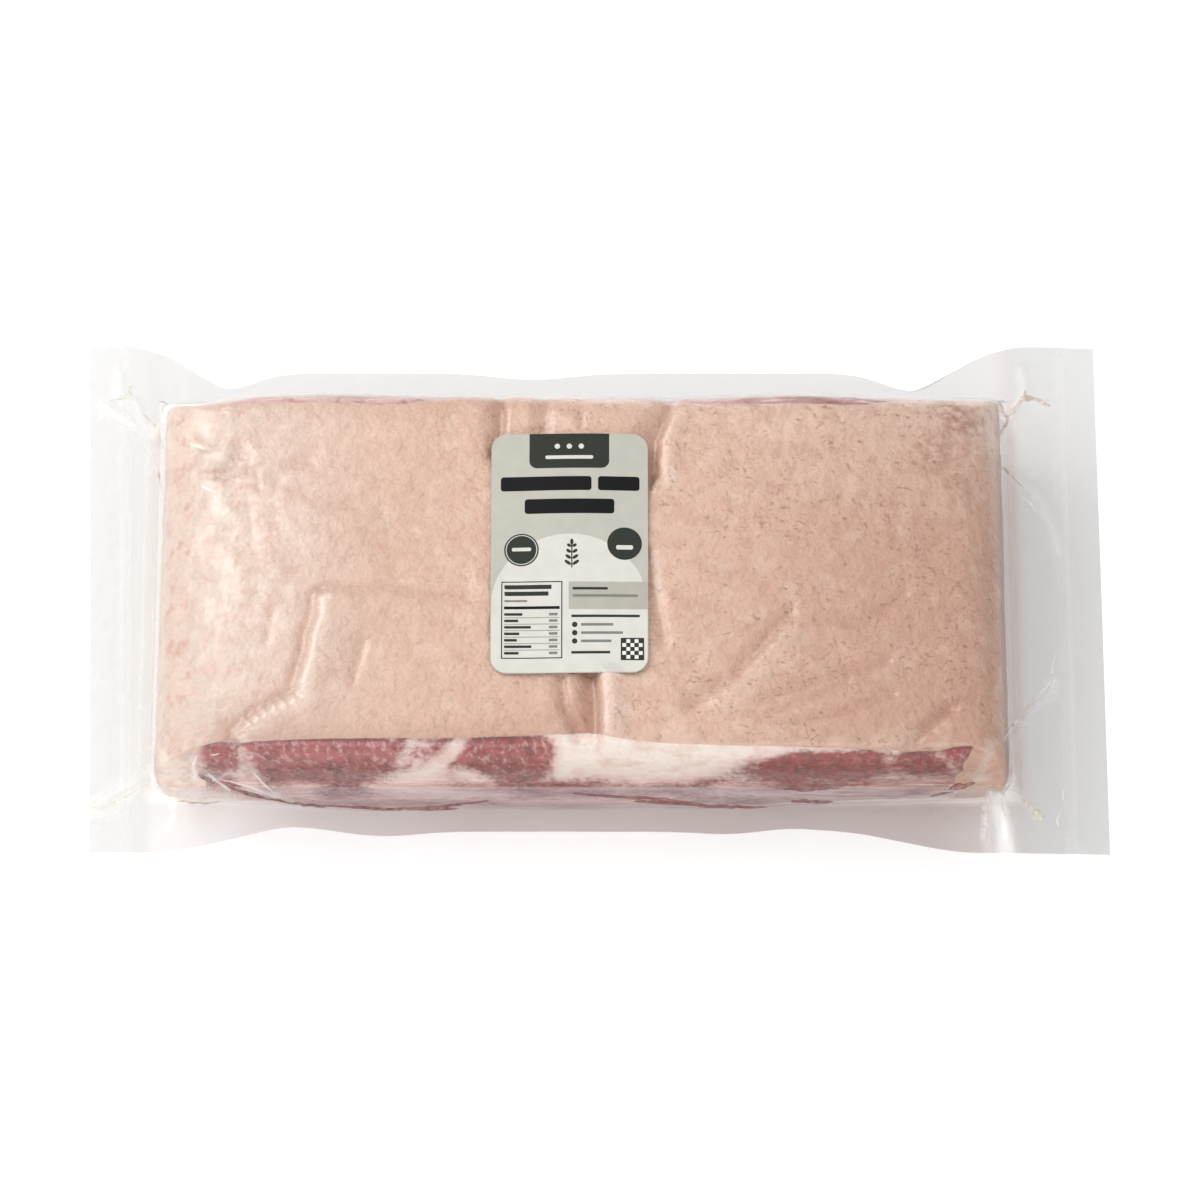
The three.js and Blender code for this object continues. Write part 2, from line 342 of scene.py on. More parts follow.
def dress(made: bpy.types.Object, material: bpy.types.Material) -> None:
    """Gives a piece its material and body.

    Args:
        made: The piece.
        material: Its material.
    """
    made.data.materials.append(material)
    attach(made, BODY)


# ---------------------------------------------------------------- node materials


@dataclass(frozen=True)
class Cloud:
    """Noise around 0.5: its clouds' size, its finer layers, and how it is stretched after a turn."""

    size: float
    detail: float = 2.0
    roughness: float = 0.5
    stretch: Triple | None = None
    turn: Triple = (0.0, 0.0, 0.0)


@dataclass(frozen=True)
class Patches:
    """Soft patches: where a cloud's noise lies high enough."""

    cloud: Cloud
    ramp: Ramp


@dataclass(frozen=True)
class Spots:
    """Spots in cells: their radius as a share of a cell, and the share of cells that hold one."""

    cell: float
    reach: float
    kept: float
    stretch: Triple
    turn: Triple
    core: float = 0.35
    full: float = 0.6


class NodeBench:
    """Lays out the nodes of one material. Sizes given to it are in millimetres."""

    def __init__(self, name: str) -> None:
        """Starts an empty node material of that name.

        Args:
            name: Its name.
        """
        self.material = bpy.data.materials.new(name)
        self.material.use_nodes = True
        self.tree = self.material.node_tree
        self.tree.nodes.clear()

    def feed(self, socket: Socket, value: Value) -> None:
        """Links a socket into another, or sets a plain number or colour on it.

        Args:
            socket: The socket.
            value: What goes into it.
        """
        if isinstance(value, bpy.types.NodeSocket):
            self.tree.links.new(value, socket)
        else:
            socket.default_value = value

    def node(self, kind: str, inputs: dict[str | int, Value], **settings: object) -> bpy.types.Node:
        """Adds a node.

        Args:
            kind: The node's type.
            inputs: What goes into its sockets, by name or number.
            **settings: Its further settings.

        Returns:
            The new node.
        """
        made = self.tree.nodes.new(kind)
        for name, value in settings.items():
            setattr(made, name, value)
        for name, value in inputs.items():
            self.feed(made.inputs[name], value)
        return made

    def place(self) -> Socket:
        """The point's own coordinates on the pack, in millimetres.

        Returns:
            The coordinates.
        """
        own = self.tree.nodes.new("ShaderNodeTexCoord").outputs["Object"]
        scaled = self.node("ShaderNodeVectorMath", {0: own, "Scale": 1.0 / MM}, operation="SCALE")
        return scaled.outputs["Vector"]

    def axis(self, vector: Socket, name: str) -> Socket:
        """One coordinate of a vector."""
        return self.node("ShaderNodeSeparateXYZ", {0: vector}).outputs[name]

    def stretch(self, vector: Socket, scale: Triple, turn: Triple) -> Socket:
        """Scales coordinates along each axis after turning them by these degrees.

        Args:
            vector: The coordinates.
            scale: The factor along each axis.
            turn: The turn about each axis, in degrees.

        Returns:
            The new coordinates.
        """
        angles = [math.radians(degrees) for degrees in turn]
        turned = self.node("ShaderNodeMapping", {"Vector": vector, "Rotation": angles}).outputs["Vector"]
        scaled = self.node("ShaderNodeVectorMath", {0: turned, 1: scale}, operation="MULTIPLY")
        return scaled.outputs["Vector"]

    def field(self, name: str) -> Socket:
        """A number that the mesh keeps at its points."""
        return self.node("ShaderNodeAttribute", {}, attribute_name=name).outputs["Fac"]

    def maths(self, operation: str, a: Value, b: Value, clamp: bool = False) -> Socket:
        """One sum on two numbers."""
        made = self.node("ShaderNodeMath", {0: a, 1: b}, operation=operation, use_clamp=clamp)
        return made.outputs["Value"]

    def times(self, first: Value, *others: Value) -> Socket:
        """The product of these numbers.

        Args:
            first: The first number.
            *others: The other numbers.

        Returns:
            The product.
        """
        for other in others:
            first = self.maths("MULTIPLY", first, other)
        return first

    def line(self, value: Value, factor: Value, offset: Value) -> Socket:
        """The value times a factor, plus an offset."""
        made = self.node("ShaderNodeMath", {0: value, 1: factor, 2: offset}, operation="MULTIPLY_ADD")
        return made.outputs["Value"]

    def rise(self, value: Value, ramp: Ramp) -> Socket:
        """Where the value stands on a ramp.

        Args:
            value: The value.
            ramp: The ramp.

        Returns:
            The height on the ramp.
        """
        span = {"From Min": ramp.start, "From Max": ramp.end, "To Min": 0.0, "To Max": ramp.top}
        made = self.node("ShaderNodeMapRange", {"Value": value, **span}, interpolation_type="SMOOTHSTEP")
        return made.outputs["Result"]

    def noise(self, vector: Socket, cloud: Cloud) -> Socket:
        """The noise of a cloud.

        Args:
            vector: The coordinates.
            cloud: The cloud.

        Returns:
            The noise at the point.
        """
        if cloud.stretch:
            vector = self.stretch(vector, cloud.stretch, cloud.turn)
        layers = {"Detail": cloud.detail, "Roughness": cloud.roughness}
        made = self.node("ShaderNodeTexNoise", {"Vector": vector, "Scale": 1.0 / cloud.size, **layers})
        return made.outputs["Fac"]

    def patches(self, vector: Socket, patches: Patches) -> Socket:
        """How deep in soft patches a point lies, 0 to 1."""
        return self.rise(self.noise(vector, patches.cloud), patches.ramp)

    def spots(self, vector: Socket, spots: Spots) -> Socket:
        """The spots' strength, 0 to 1.

        Args:
            vector: The coordinates.
            spots: The spots.

        Returns:
            The strength.
        """
        vector = self.stretch(vector, spots.stretch, spots.turn)
        cell = {"Vector": vector, "Scale": 1.0 / spots.cell, "Randomness": 1.0}
        cells = self.node("ShaderNodeTexVoronoi", cell)
        outside = self.rise(cells.outputs["Distance"], Ramp(spots.reach * spots.core, spots.reach))
        chance = self.axis(cells.outputs["Color"], "X")
        kept = self.rise(chance, Ramp(1.0 - spots.kept, 1.0 - spots.kept * spots.full))
        return self.times(self.maths("SUBTRACT", 1.0, outside), kept)

    def blend(self, share: Value, a: Value, b: Value) -> Socket:
        """Mixes two colours."""
        return self.node("ShaderNodeMix", {0: share, 6: a, 7: b}, data_type="RGBA").outputs[2]

    def bump(self, height: Value, distance: float, strength: float, under: Value | None = None) -> Socket:
        """Bends the normal.

        Args:
            height: The height, from 0 to 1.
            distance: The distance that it stands for.
            strength: How much of the bend is kept.
            under: The normal that is bent, if it isn't the mesh's own.

        Returns:
            The bent normal.
        """
        inputs = {"Height": height, "Distance": distance * MM, "Strength": strength}
        if under is not None:
            inputs["Normal"] = under
        return self.node("ShaderNodeBump", inputs).outputs["Normal"]

    def plastic(
        self, colour: Value, roughness: float, normal: Value | None = None, **others: Value
    ) -> Socket:
        """A Principled shader.

        Args:
            colour: Its base colour.
            roughness: Its roughness.
            normal: Its normal, if it isn't the mesh's own.
            **others: Further sockets, with spaces written as underscores.

        Returns:
            The shader.
        """
        inputs = {"Base Color": colour, "Roughness": roughness}
        if normal is not None:
            inputs["Normal"] = normal
        inputs.update({name.replace("_", " "): value for name, value in others.items()})
        return self.node("ShaderNodeBsdfPrincipled", inputs).outputs["BSDF"]

    def shader(self, kind: str, inputs: dict[str | int, Value]) -> Socket:
        """What a plain shader node of that type gives out."""
        return self.node(kind, inputs).outputs[0]

    def done(self, shader: Socket) -> bpy.types.Material:
        """Sends the shader out and returns the material."""
        self.node("ShaderNodeOutputMaterial", {"Surface": shader})
        return self.material


def dimmer(colour: Colour, share: float) -> Colour:
    """The same colour, darker by that share."""
    return tuple(channel * share for channel in colour[:3]) + (1.0,)


@dataclass(frozen=True)
class RindAndFlesh:
    """The slab's look: peach rind with hair marks and painted light and shade, ivory fat and streaked lean.

    Ramps along the pack, across it, up and down it are in millimetres. A line says how much a share grows
    with something, and what it starts from.
    """

    # The ends' colours are partly the rind's own and partly painted light: painted glare at the left end,
    # painted shade at the right.
    rind_left_end: Colour = paint(216, 194, 180)
    rind_middle: Colour = paint(210, 174, 152)
    rind_right_end: Colour = paint(186, 145, 122)
    # Painted shade over the left roll, where the key lamp falls brightest.
    rind_left_rim: Colour = paint(172, 148, 132)
    # Pale patches and a paler back at the right end, and a painted highlight where the rind rolls down at
    # the back.
    rind_pale: Colour = paint(228, 206, 192)
    # Clouds of the rind's own colour, and round patches of painted shade.
    rind_cloud: Colour = paint(178, 134, 112)
    rind_flush: Colour = paint(200, 148, 134)
    rind_stain: Colour = paint(154, 108, 86)
    # Painted shade in creases, at the step's foot and along the front and back edges.
    rind_crease: Colour = paint(172, 126, 102)
    # Painted highlights and glare: on the step's edge and ridges, in patches near the left end and at the
    # front left corner.
    rind_glint: Colour = paint(240, 224, 212)
    hair: Colour = paint(136, 92, 72)
    fat_pale: Colour = paint(232, 217, 205)
    fat_pink: Colour = paint(222, 194, 182)
    fat_grey: Colour = paint(208, 170, 165)
    fat_dusk: Colour = paint(170, 128, 120)
    fat_flushed: Colour = paint(206, 168, 164)
    lean_left: Colour = paint(164, 82, 80)
    lean_right: Colour = paint(142, 40, 27)
    lean_dark: Colour = paint(103, 24, 19)
    lean_edge: Colour = paint(92, 42, 36)
    thread: Colour = paint(206, 164, 157)
    roughness: float = 0.55
    dimples: Cloud = Cloud(3.4, 2.0, 0.6)
    dimple_depth: float = 2.2
    dimple_strength: float = 0.6
    ragged: Cloud = Cloud(2.0, 3.0, 0.6)
    ragged_rind: float = 0.9
    ragged_lean: float = 4.0
    lean_meets_fat: Ramp = Ramp(-1.7, 1.5)
    rind_meets_flesh: Ramp = Ramp(-0.2, 0.2)

    hair_marks: tuple[Patches, ...] = tuple(
        Patches(Cloud(size, 2.0, 0.6, (0.42, 1.0, 1.0), (0.0, 0.0, lean)), Ramp(0.605, 0.73))
        for size, lean in ((1.5, 12.0), (1.2, -34.0), (1.8, 70.0))
    )
    hair_along: Ramp = Ramp(-150.0, 90.0)
    hair_line: Point = (0.5, 0.08)
    hair_areas: Patches = Patches(Cloud(12.0), Ramp(0.36, 0.62))
    hair_area_line: Point = (0.8, 0.3)
    dots: Spots = Spots(2.2, 0.34, 0.1, (0.6, 1.0, 1.0), (0.0, 0.0, 25.0))
    dots_line: Point = (0.6, 0.05)

    from_left: Ramp = Ramp(-135.0, -45.0)
    rim_outer: Ramp = Ramp(-136.0, -130.0)
    rim_inner: Ramp = Ramp(-116.0, -126.0)
    rim_share: float = 0.55
    to_right: Ramp = Ramp(20.0, 126.0)
    to_back: Ramp = Ramp(0.0, 55.0, 0.34)
    # Where the painted highlight lies along the back roll.
    rolled_down: Ramp = Ramp(52.5, 48.0, 0.7)
    rolled_back: Ramp = Ramp(40.0, 52.0)
    clouds: Patches = Patches(Cloud(6.5, 2.0, 0.62), Ramp(0.46, 0.66))
    clouds_along: Ramp = Ramp(-60.0, 80.0)
    clouds_line: Point = (0.2, 0.17)
    pale: Patches = Patches(Cloud(8.0, 1.0, 0.5, (1.0, 1.0, 1.0), (30.0, 0.0, 50.0)), Ramp(0.54, 0.7))
    pale_line: Point = (-0.08, 0.22)
    left_end: Ramp = Ramp(-92.0, -140.0)
    # Where painted glare lies in patches near the left end.
    milky: Patches = Patches(Cloud(7.0, 3.0, 0.6, (1.0, 0.6, 1.0)), Ramp(0.44, 0.66))
    milky_across: Ramp = Ramp(-52.0, -34.0, 0.46)
    milky_right: Ramp = Ramp(-84.0, -106.0)
    milky_left: Ramp = Ramp(-136.0, -124.0)
    front_left: Ramp = Ramp(-56.0, -68.0, 0.6)
    flush: Patches = Patches(Cloud(5.0, 2.0, 0.65), Ramp(0.5, 0.68))
    flush_line: Point = (0.45, 0.12)
    stain_blots: Patches = Patches(Cloud(3.4, 3.0, 0.65), Ramp(0.28, 0.66))

    fat_clouds: Patches = Patches(Cloud(7.0, 2.0, 0.6), Ramp(0.44, 0.72))
    fat_streaks: Patches = Patches(Cloud(1.9, 3.0, 0.6, (0.085, 1.0, 1.0)), Ramp(0.36, 0.54))
    near_lean: Ramp = Ramp(-4.0, -0.5, 0.45)
    dusk_along: Ramp = Ramp(30.0, 80.0)
    red_threads: Patches = Patches(Cloud(1.5, 2.0, 0.5, (0.06, 1.0, 1.0), (0.0, 1.5, 0.0)), Ramp(0.54, 0.64))
    red_down: Ramp = Ramp(15.0, 19.0, 0.6)

    lean_along: Ramp = Ramp(-80.0, 40.0)
    fibres: Patches = Patches(
        Cloud(3.0, 3.0, 0.6, (1.0, 0.6, 0.5), (0.0, 18.0, 0.0)), Ramp(0.42, 0.7, 0.75)
    )
    lower_down: Ramp = Ramp(6.5, 12.0, 0.55)
    threads: Patches = Patches(
        Cloud(1.8, 2.0, 0.62, (1.0, 0.6, 0.5), (0.0, 12.0, 0.0)), Ramp(0.48, 0.72, 0.75)
    )
    threads_along: Ramp = Ramp(-60.0, 40.0)
    threads_line: Point = (0.5, 0.45)
    under_rind: Ramp = Ramp(-1.9, -0.5, 0.6)

    def hairs(self, bench: NodeBench, place: Socket) -> Socket:
        """How strong short uneven marks and a few dark dots are: most towards the right end.

        Args:
            bench: Where the material's nodes are laid out.
            place: The point's own coordinates.

        Returns:
            The strength, 0 to 1.
        """
        marks: Value = 0.0
        for mark in self.hair_marks:
            marks = bench.maths("MAXIMUM", marks, bench.patches(place, mark))
        areas = bench.patches(place, self.hair_areas)
        along = bench.rise(bench.axis(place, "X"), self.hair_along)
        share = bench.times(bench.line(along, *self.hair_line), bench.line(areas, *self.hair_area_line))
        dots = bench.times(bench.spots(place, self.dots), bench.line(along, *self.dots_line))
        return bench.maths("MAXIMUM", bench.times(marks, share), dots)

    def rind_base(self, bench: NodeBench, place: Socket) -> Socket:
        """The rind's colour along the pack: partly painted light, lighter to the left and darker to the
        right.

        Args:
            bench: Where the material's nodes are laid out.
            place: The point's own coordinates.

        Returns:
            The colour.
        """
        along, across = bench.axis(place, "X"), bench.axis(place, "Y")
        colour = bench.blend(bench.rise(along, self.from_left), self.rind_left_end, self.rind_middle)
        # Painted shade over the left roll, where the key lamp falls brightest.
        rim = bench.times(bench.rise(along, self.rim_outer), bench.rise(along, self.rim_inner))
        rim = bench.times(rim, self.rim_share)
        colour = bench.blend(rim, colour, self.rind_left_rim)
        to_right = bench.rise(along, self.to_right)
        colour = bench.blend(to_right, colour, self.rind_right_end)
        back_right = bench.times(to_right, bench.rise(across, self.to_back))
        colour = bench.blend(back_right, colour, self.rind_pale)
        # A painted highlight of the film along the back, where the rind rolls down.
        rolled = bench.rise(bench.axis(place, "Z"), self.rolled_down)
        rolled = bench.times(rolled, bench.rise(across, self.rolled_back))
        return bench.blend(rolled, colour, self.rind_pale)

    def rind(self, bench: NodeBench, place: Socket) -> Socket:
        """The rind's colour with clouds, flushed patches, stains, hair marks and painted shade, glare and
        highlights.

        Args:
            bench: Where the material's nodes are laid out.
            place: The point's own coordinates.

        Returns:
            The colour.
        """
        along, across = bench.axis(place, "X"), bench.axis(place, "Y")
        # Round patches of painted shade.
        colour = bench.blend(bench.field("tone"), self.rind_base(bench, place), self.rind_cloud)
        growth = bench.line(bench.rise(along, self.clouds_along), *self.clouds_line)
        colour = bench.blend(bench.times(bench.patches(place, self.clouds), growth), colour, self.rind_cloud)
        growth = bench.line(bench.rise(along, self.to_right), *self.pale_line)
        colour = bench.blend(bench.times(bench.patches(place, self.pale), growth), colour, self.rind_pale)
        # Painted glare of the film in patches near the left end.
        near_left = bench.times(bench.rise(along, self.milky_right), bench.rise(along, self.milky_left))
        milky = bench.times(bench.patches(place, self.milky), bench.rise(across, self.milky_across))
        milky = bench.times(milky, near_left)
        colour = bench.blend(milky, colour, self.rind_glint)
        left_end = bench.rise(along, self.left_end)
        # Painted light that lifts the front left corner out of its shade.
        front_left = bench.times(left_end, bench.rise(across, self.front_left))
        colour = bench.blend(front_left, colour, self.rind_glint)
        flush = bench.times(bench.patches(place, self.flush), bench.line(left_end, *self.flush_line))
        colour = bench.blend(flush, colour, self.rind_flush)
        # Painted shade in creases, at the step's foot and along the front and back edges.
        colour = bench.blend(bench.field("crease"), colour, self.rind_crease)
        # Painted highlights on the step's edge, the ridges and a few sparks.
        colour = bench.blend(bench.field("glint"), colour, self.rind_glint)
        stain = bench.times(bench.field("stain"), bench.patches(place, self.stain_blots))
        colour = bench.blend(stain, colour, self.rind_stain)
        return bench.blend(self.hairs(bench, place), colour, self.hair)

    def fat(self, bench: NodeBench, place: Socket) -> Socket:
        """The fat's colour, greyer and pinker in streaks low on the slab.

        Args:
            bench: Where the material's nodes are laid out.
            place: The point's own coordinates.

        Returns:
            The colour.
        """
        colour = bench.blend(bench.patches(place, self.fat_clouds), self.fat_pale, self.fat_pink)
        near_lean = bench.rise(bench.field("lean"), self.near_lean)
        colour = bench.blend(near_lean, colour, self.fat_flushed)
        low = bench.times(bench.field("low"), bench.patches(place, self.fat_streaks))
        dusk = bench.rise(bench.axis(place, "X"), self.dusk_along)
        colour = bench.blend(low, colour, bench.blend(dusk, self.fat_grey, self.fat_dusk))
        deep = bench.rise(bench.field("down"), self.red_down)
        return bench.blend(bench.times(deep, bench.patches(place, self.red_threads)), colour, self.lean_left)

    def lean(self, bench: NodeBench, place: Socket) -> Socket:
        """The lean's colour, darker low down, with pale threads of fat in it.

        Args:
            bench: Where the material's nodes are laid out.
            place: The point's own coordinates.

        Returns:
            The colour.
        """
        along = bench.axis(place, "X")
        colour = bench.blend(bench.rise(along, self.lean_along), self.lean_left, self.lean_right)
        lower = bench.rise(bench.field("down"), self.lower_down)
        dark = bench.maths("ADD", bench.patches(place, self.fibres), lower)
        colour = bench.blend(bench.maths("MINIMUM", dark, 1.0), colour, self.lean_dark)
        to_left = bench.rise(bench.times(along, -1.0), self.threads_along)
        threads = bench.times(bench.patches(place, self.threads), bench.line(to_left, *self.threads_line))
        threads = bench.times(threads, bench.line(lower, -1.0, 1.0))
        colour = bench.blend(threads, colour, self.thread)
        return bench.blend(bench.rise(bench.field("rind"), self.under_rind), colour, self.lean_edge)

    def material(self) -> bpy.types.Material:
        """Makes the slab's material, which reads fields that the mesh keeps at its points.

        Returns:
            The material.
        """
        bench = NodeBench("pork")
        place = bench.place()
        ragged = bench.maths("SUBTRACT", bench.noise(place, self.ragged), 0.5)
        rind = bench.line(ragged, self.ragged_rind, bench.field("rind"))
        lean = bench.line(ragged, self.ragged_lean, bench.field("lean"))
        rind_edge, lean_edge = bench.rise(rind, self.rind_meets_flesh), bench.rise(lean, self.lean_meets_fat)
        flesh = bench.blend(lean_edge, self.fat(bench, place), self.lean(bench, place))
        colour = bench.blend(rind_edge, flesh, self.rind(bench, place))
        normal = bench.bump(bench.noise(place, self.dimples), self.dimple_depth, self.dimple_strength)
        return bench.done(bench.plastic(colour, self.roughness, normal))


@dataclass(frozen=True)
class ClearFilm:
    """Clear vacuum film, faintly milky where it stands free, embossed with a fine diamond grid."""

    tint: Colour = (0.966, 0.966, 0.963, 1.0)
    # The see-through colour under full painted shadow, and its pinkish kind near the slab.
    smoke: Colour = (0.61, 0.607, 0.605, 1.0)
    warm_smoke: Colour = (0.61, 0.55, 0.535, 1.0)
    # The milky colour, which also carries painted highlights.
    haze: Colour = paint(232, 230, 227)
    gloss: Colour = (1.0, 1.0, 1.0, 1.0)
    haze_on_slab: float = 0.015
    roughness: float = 0.24
    refraction: float = 1.45
    most_mirror: float = 0.26
    grid: float = 1.15
    grid_turn: Triple = (0.0, 0.0, 45.0)
    grid_depth: float = 0.12
    grid_strength: float = 0.6
    crinkle: Cloud = Cloud(3.6, 1.0)
    crinkle_depth: float = 0.9
    crinkle_strength: float = 0.4

    def embossing(self, bench: NodeBench, place: Socket) -> Socket:
        """The diamond grid, where the film stands free inside the seals.

        Args:
            bench: Where the material's nodes are laid out.
            place: The point's own coordinates.

        Returns:
            The grid's height.
        """
        turned = bench.stretch(place, (1.0, 1.0, 1.0), self.grid_turn)
        turn = 2.0 * math.pi / self.grid
        turns = [bench.times(bench.axis(turned, name), turn) for name in ("X", "Y")]
        waves = [bench.maths("SINE", value, 0.0) for value in turns]
        return bench.times(*waves, bench.field("embossed"))

    def material(self) -> bpy.types.Material:
        """Makes the film's material, which reads fields for milkiness with painted highlights, painted
        shadow, its pink, sheen and embossing.

        Returns:
            The material.
        """
        bench = NodeBench("vacuum_film")
        place = bench.place()
        normal = bench.bump(self.embossing(bench, place), self.grid_depth, self.grid_strength)
        crinkle = bench.noise(place, self.crinkle)
        normal = bench.bump(crinkle, self.crinkle_depth, self.crinkle_strength, normal)
        # Milkiness, which also carries painted highlights on seal lines, pleats, folds and white strokes.
        haze = bench.maths("ADD", bench.field("haze"), self.haze_on_slab, clamp=True)
        # The see-through colour, darkened where painted shadow falls under the film.
        smoke = bench.blend(bench.field("warm"), self.smoke, self.warm_smoke)
        through = bench.blend(bench.field("dim"), self.tint, smoke)
        clear = bench.shader("ShaderNodeBsdfTransparent", {"Color": through})
        milky = bench.shader("ShaderNodeBsdfDiffuse", {"Color": self.haze})
        body = bench.shader("ShaderNodeMixShader", {0: haze, 1: clear, 2: milky})
        polish = {"Color": self.gloss, "Roughness": self.roughness, "Normal": normal}
        shine = bench.shader("ShaderNodeBsdfGlossy", polish)
        mirror = bench.shader("ShaderNodeFresnel", {"IOR": self.refraction, "Normal": normal})
        mirror = bench.times(bench.maths("MINIMUM", mirror, self.most_mirror), bench.field("sheen"))
        return bench.done(bench.shader("ShaderNodeMixShader", {0: mirror, 1: body, 2: shine}))


@dataclass(frozen=True)
class SmoothPaper:
    """Smooth coated paper or print on it: one colour with a faint cloudiness."""

    name: str
    colour: Colour
    cloud: float = 0.05
    roughness: float = 0.45
    shine: float = 0.15
    clouds: Patches = Patches(Cloud(5.0, 4.0), Ramp(0.3, 0.7))
    fibres: Cloud = Cloud(0.5, 3.0)
    fibre_depth: float = 0.03
    fibre_strength: float = 0.3

    def material(self) -> bpy.types.Material:
        """Makes the paper's material.

        Returns:
            The material.
        """
        bench = NodeBench(self.name)
        place = bench.place()
        cloudy = dimmer(self.colour, 1.0 - self.cloud)
        colour = bench.blend(bench.patches(place, self.clouds), self.colour, cloudy)
        normal = bench.bump(bench.noise(place, self.fibres), self.fibre_depth, self.fibre_strength)
        return bench.done(bench.plastic(colour, self.roughness, normal, Specular_IOR_Level=self.shine))


@dataclass(frozen=True)
class ThinTrace:
    """A thin clouded trace of one colour that half covers what is under it."""

    name: str
    colour: Colour
    deep: Colour
    cover: float
    uneven: float = 0.3
    roughness: float = 0.3
    clouds: Patches = Patches(Cloud(1.6, 3.0), Ramp(0.35, 0.65))

    def material(self) -> bpy.types.Material:
        """Makes the trace's material.

        Returns:
            The material.
        """
        bench = NodeBench(self.name)
        cloud = bench.patches(bench.place(), self.clouds)
        body = bench.plastic(bench.blend(cloud, self.colour, self.deep), self.roughness)
        clear = bench.shader("ShaderNodeBsdfTransparent", {})
        cover = bench.line(cloud, self.uneven, self.cover - self.uneven / 2.0)
        return bench.done(bench.shader("ShaderNodeMixShader", {0: cover, 1: clear, 2: body}))


@dataclass(frozen=True)
class StudioPaint:
    """The floor: matt white, and lit a little from below like a photographer's light table."""

    colour: Colour = (0.62, 0.62, 0.62, 1.0)
    light: Colour = (1.0, 1.0, 1.0, 1.0)
    shade: float = 0.985
    roughness: float = 0.9
    glow: float = 0.5
    clouds: Patches = Patches(Cloud(900.0), Ramp(0.2, 0.8))

    def material(self) -> bpy.types.Material:
        """Makes the floor's material.

        Returns:
            The material.
        """
        bench = NodeBench("studio_floor")
        clouds = bench.patches(bench.place(), self.clouds)
        colour = bench.blend(clouds, self.colour, dimmer(self.colour, self.shade))
        glow = {"Emission_Color": self.light, "Emission_Strength": self.glow}
        return bench.done(bench.plastic(colour, self.roughness, **glow))


# ---------------------------------------------------------------- the slab's form


class Side(Enum):
    """The slab's four sides, with the way each one faces."""

    LEFT = (-1, 0)
    RIGHT = (1, 0)
    FRONT = (0, -1)
    BACK = (0, 1)


@dataclass(frozen=True)
class Roll:
    """How a side rolls in: how far, and how boxy its curve is, where 2 is an ellipse."""

    reach: float
    squareness: float


ROLL_UP = {
    Side.FRONT: Roll(9.0, 3.3),
    Side.BACK: Roll(18.0, 2.1),
    Side.LEFT: Roll(30.0, 2.2),
    Side.RIGHT: Roll(21.0, 2.5),
}
ROLL_DOWN = {
    Side.FRONT: Roll(8.0, 2.6),
    Side.BACK: Roll(10.0, 2.4),
    Side.LEFT: Roll(17.0, 2.2),
    Side.RIGHT: Roll(15.0, 2.2),
}


@dataclass(frozen=True)
class Box:
    """A rectangle with rounded corners, seen from above."""

    left: float
    right: float
    front: float
    back: float
    radius: float

    def inset(self, by: dict[Side, float]) -> "Box":
        """The same box with each side moved in."""
        return Box(
            self.left + by[Side.LEFT],
            self.right - by[Side.RIGHT],
            self.front + by[Side.FRONT],
            self.back - by[Side.BACK],
            self.radius,
        )


SLAB_BOX = Box(-145.5, 139.5, -69.0, 70.0, 4.0)
MID_HEIGHT = 27.0
TOP_HEIGHT = 52.4


def past_ends(x: Array) -> Array:
    """How far past the slab's nearer end a place lies, below 0 beside the slab."""
    return np.maximum(SLAB_BOX.left - x, x - SLAB_BOX.right)


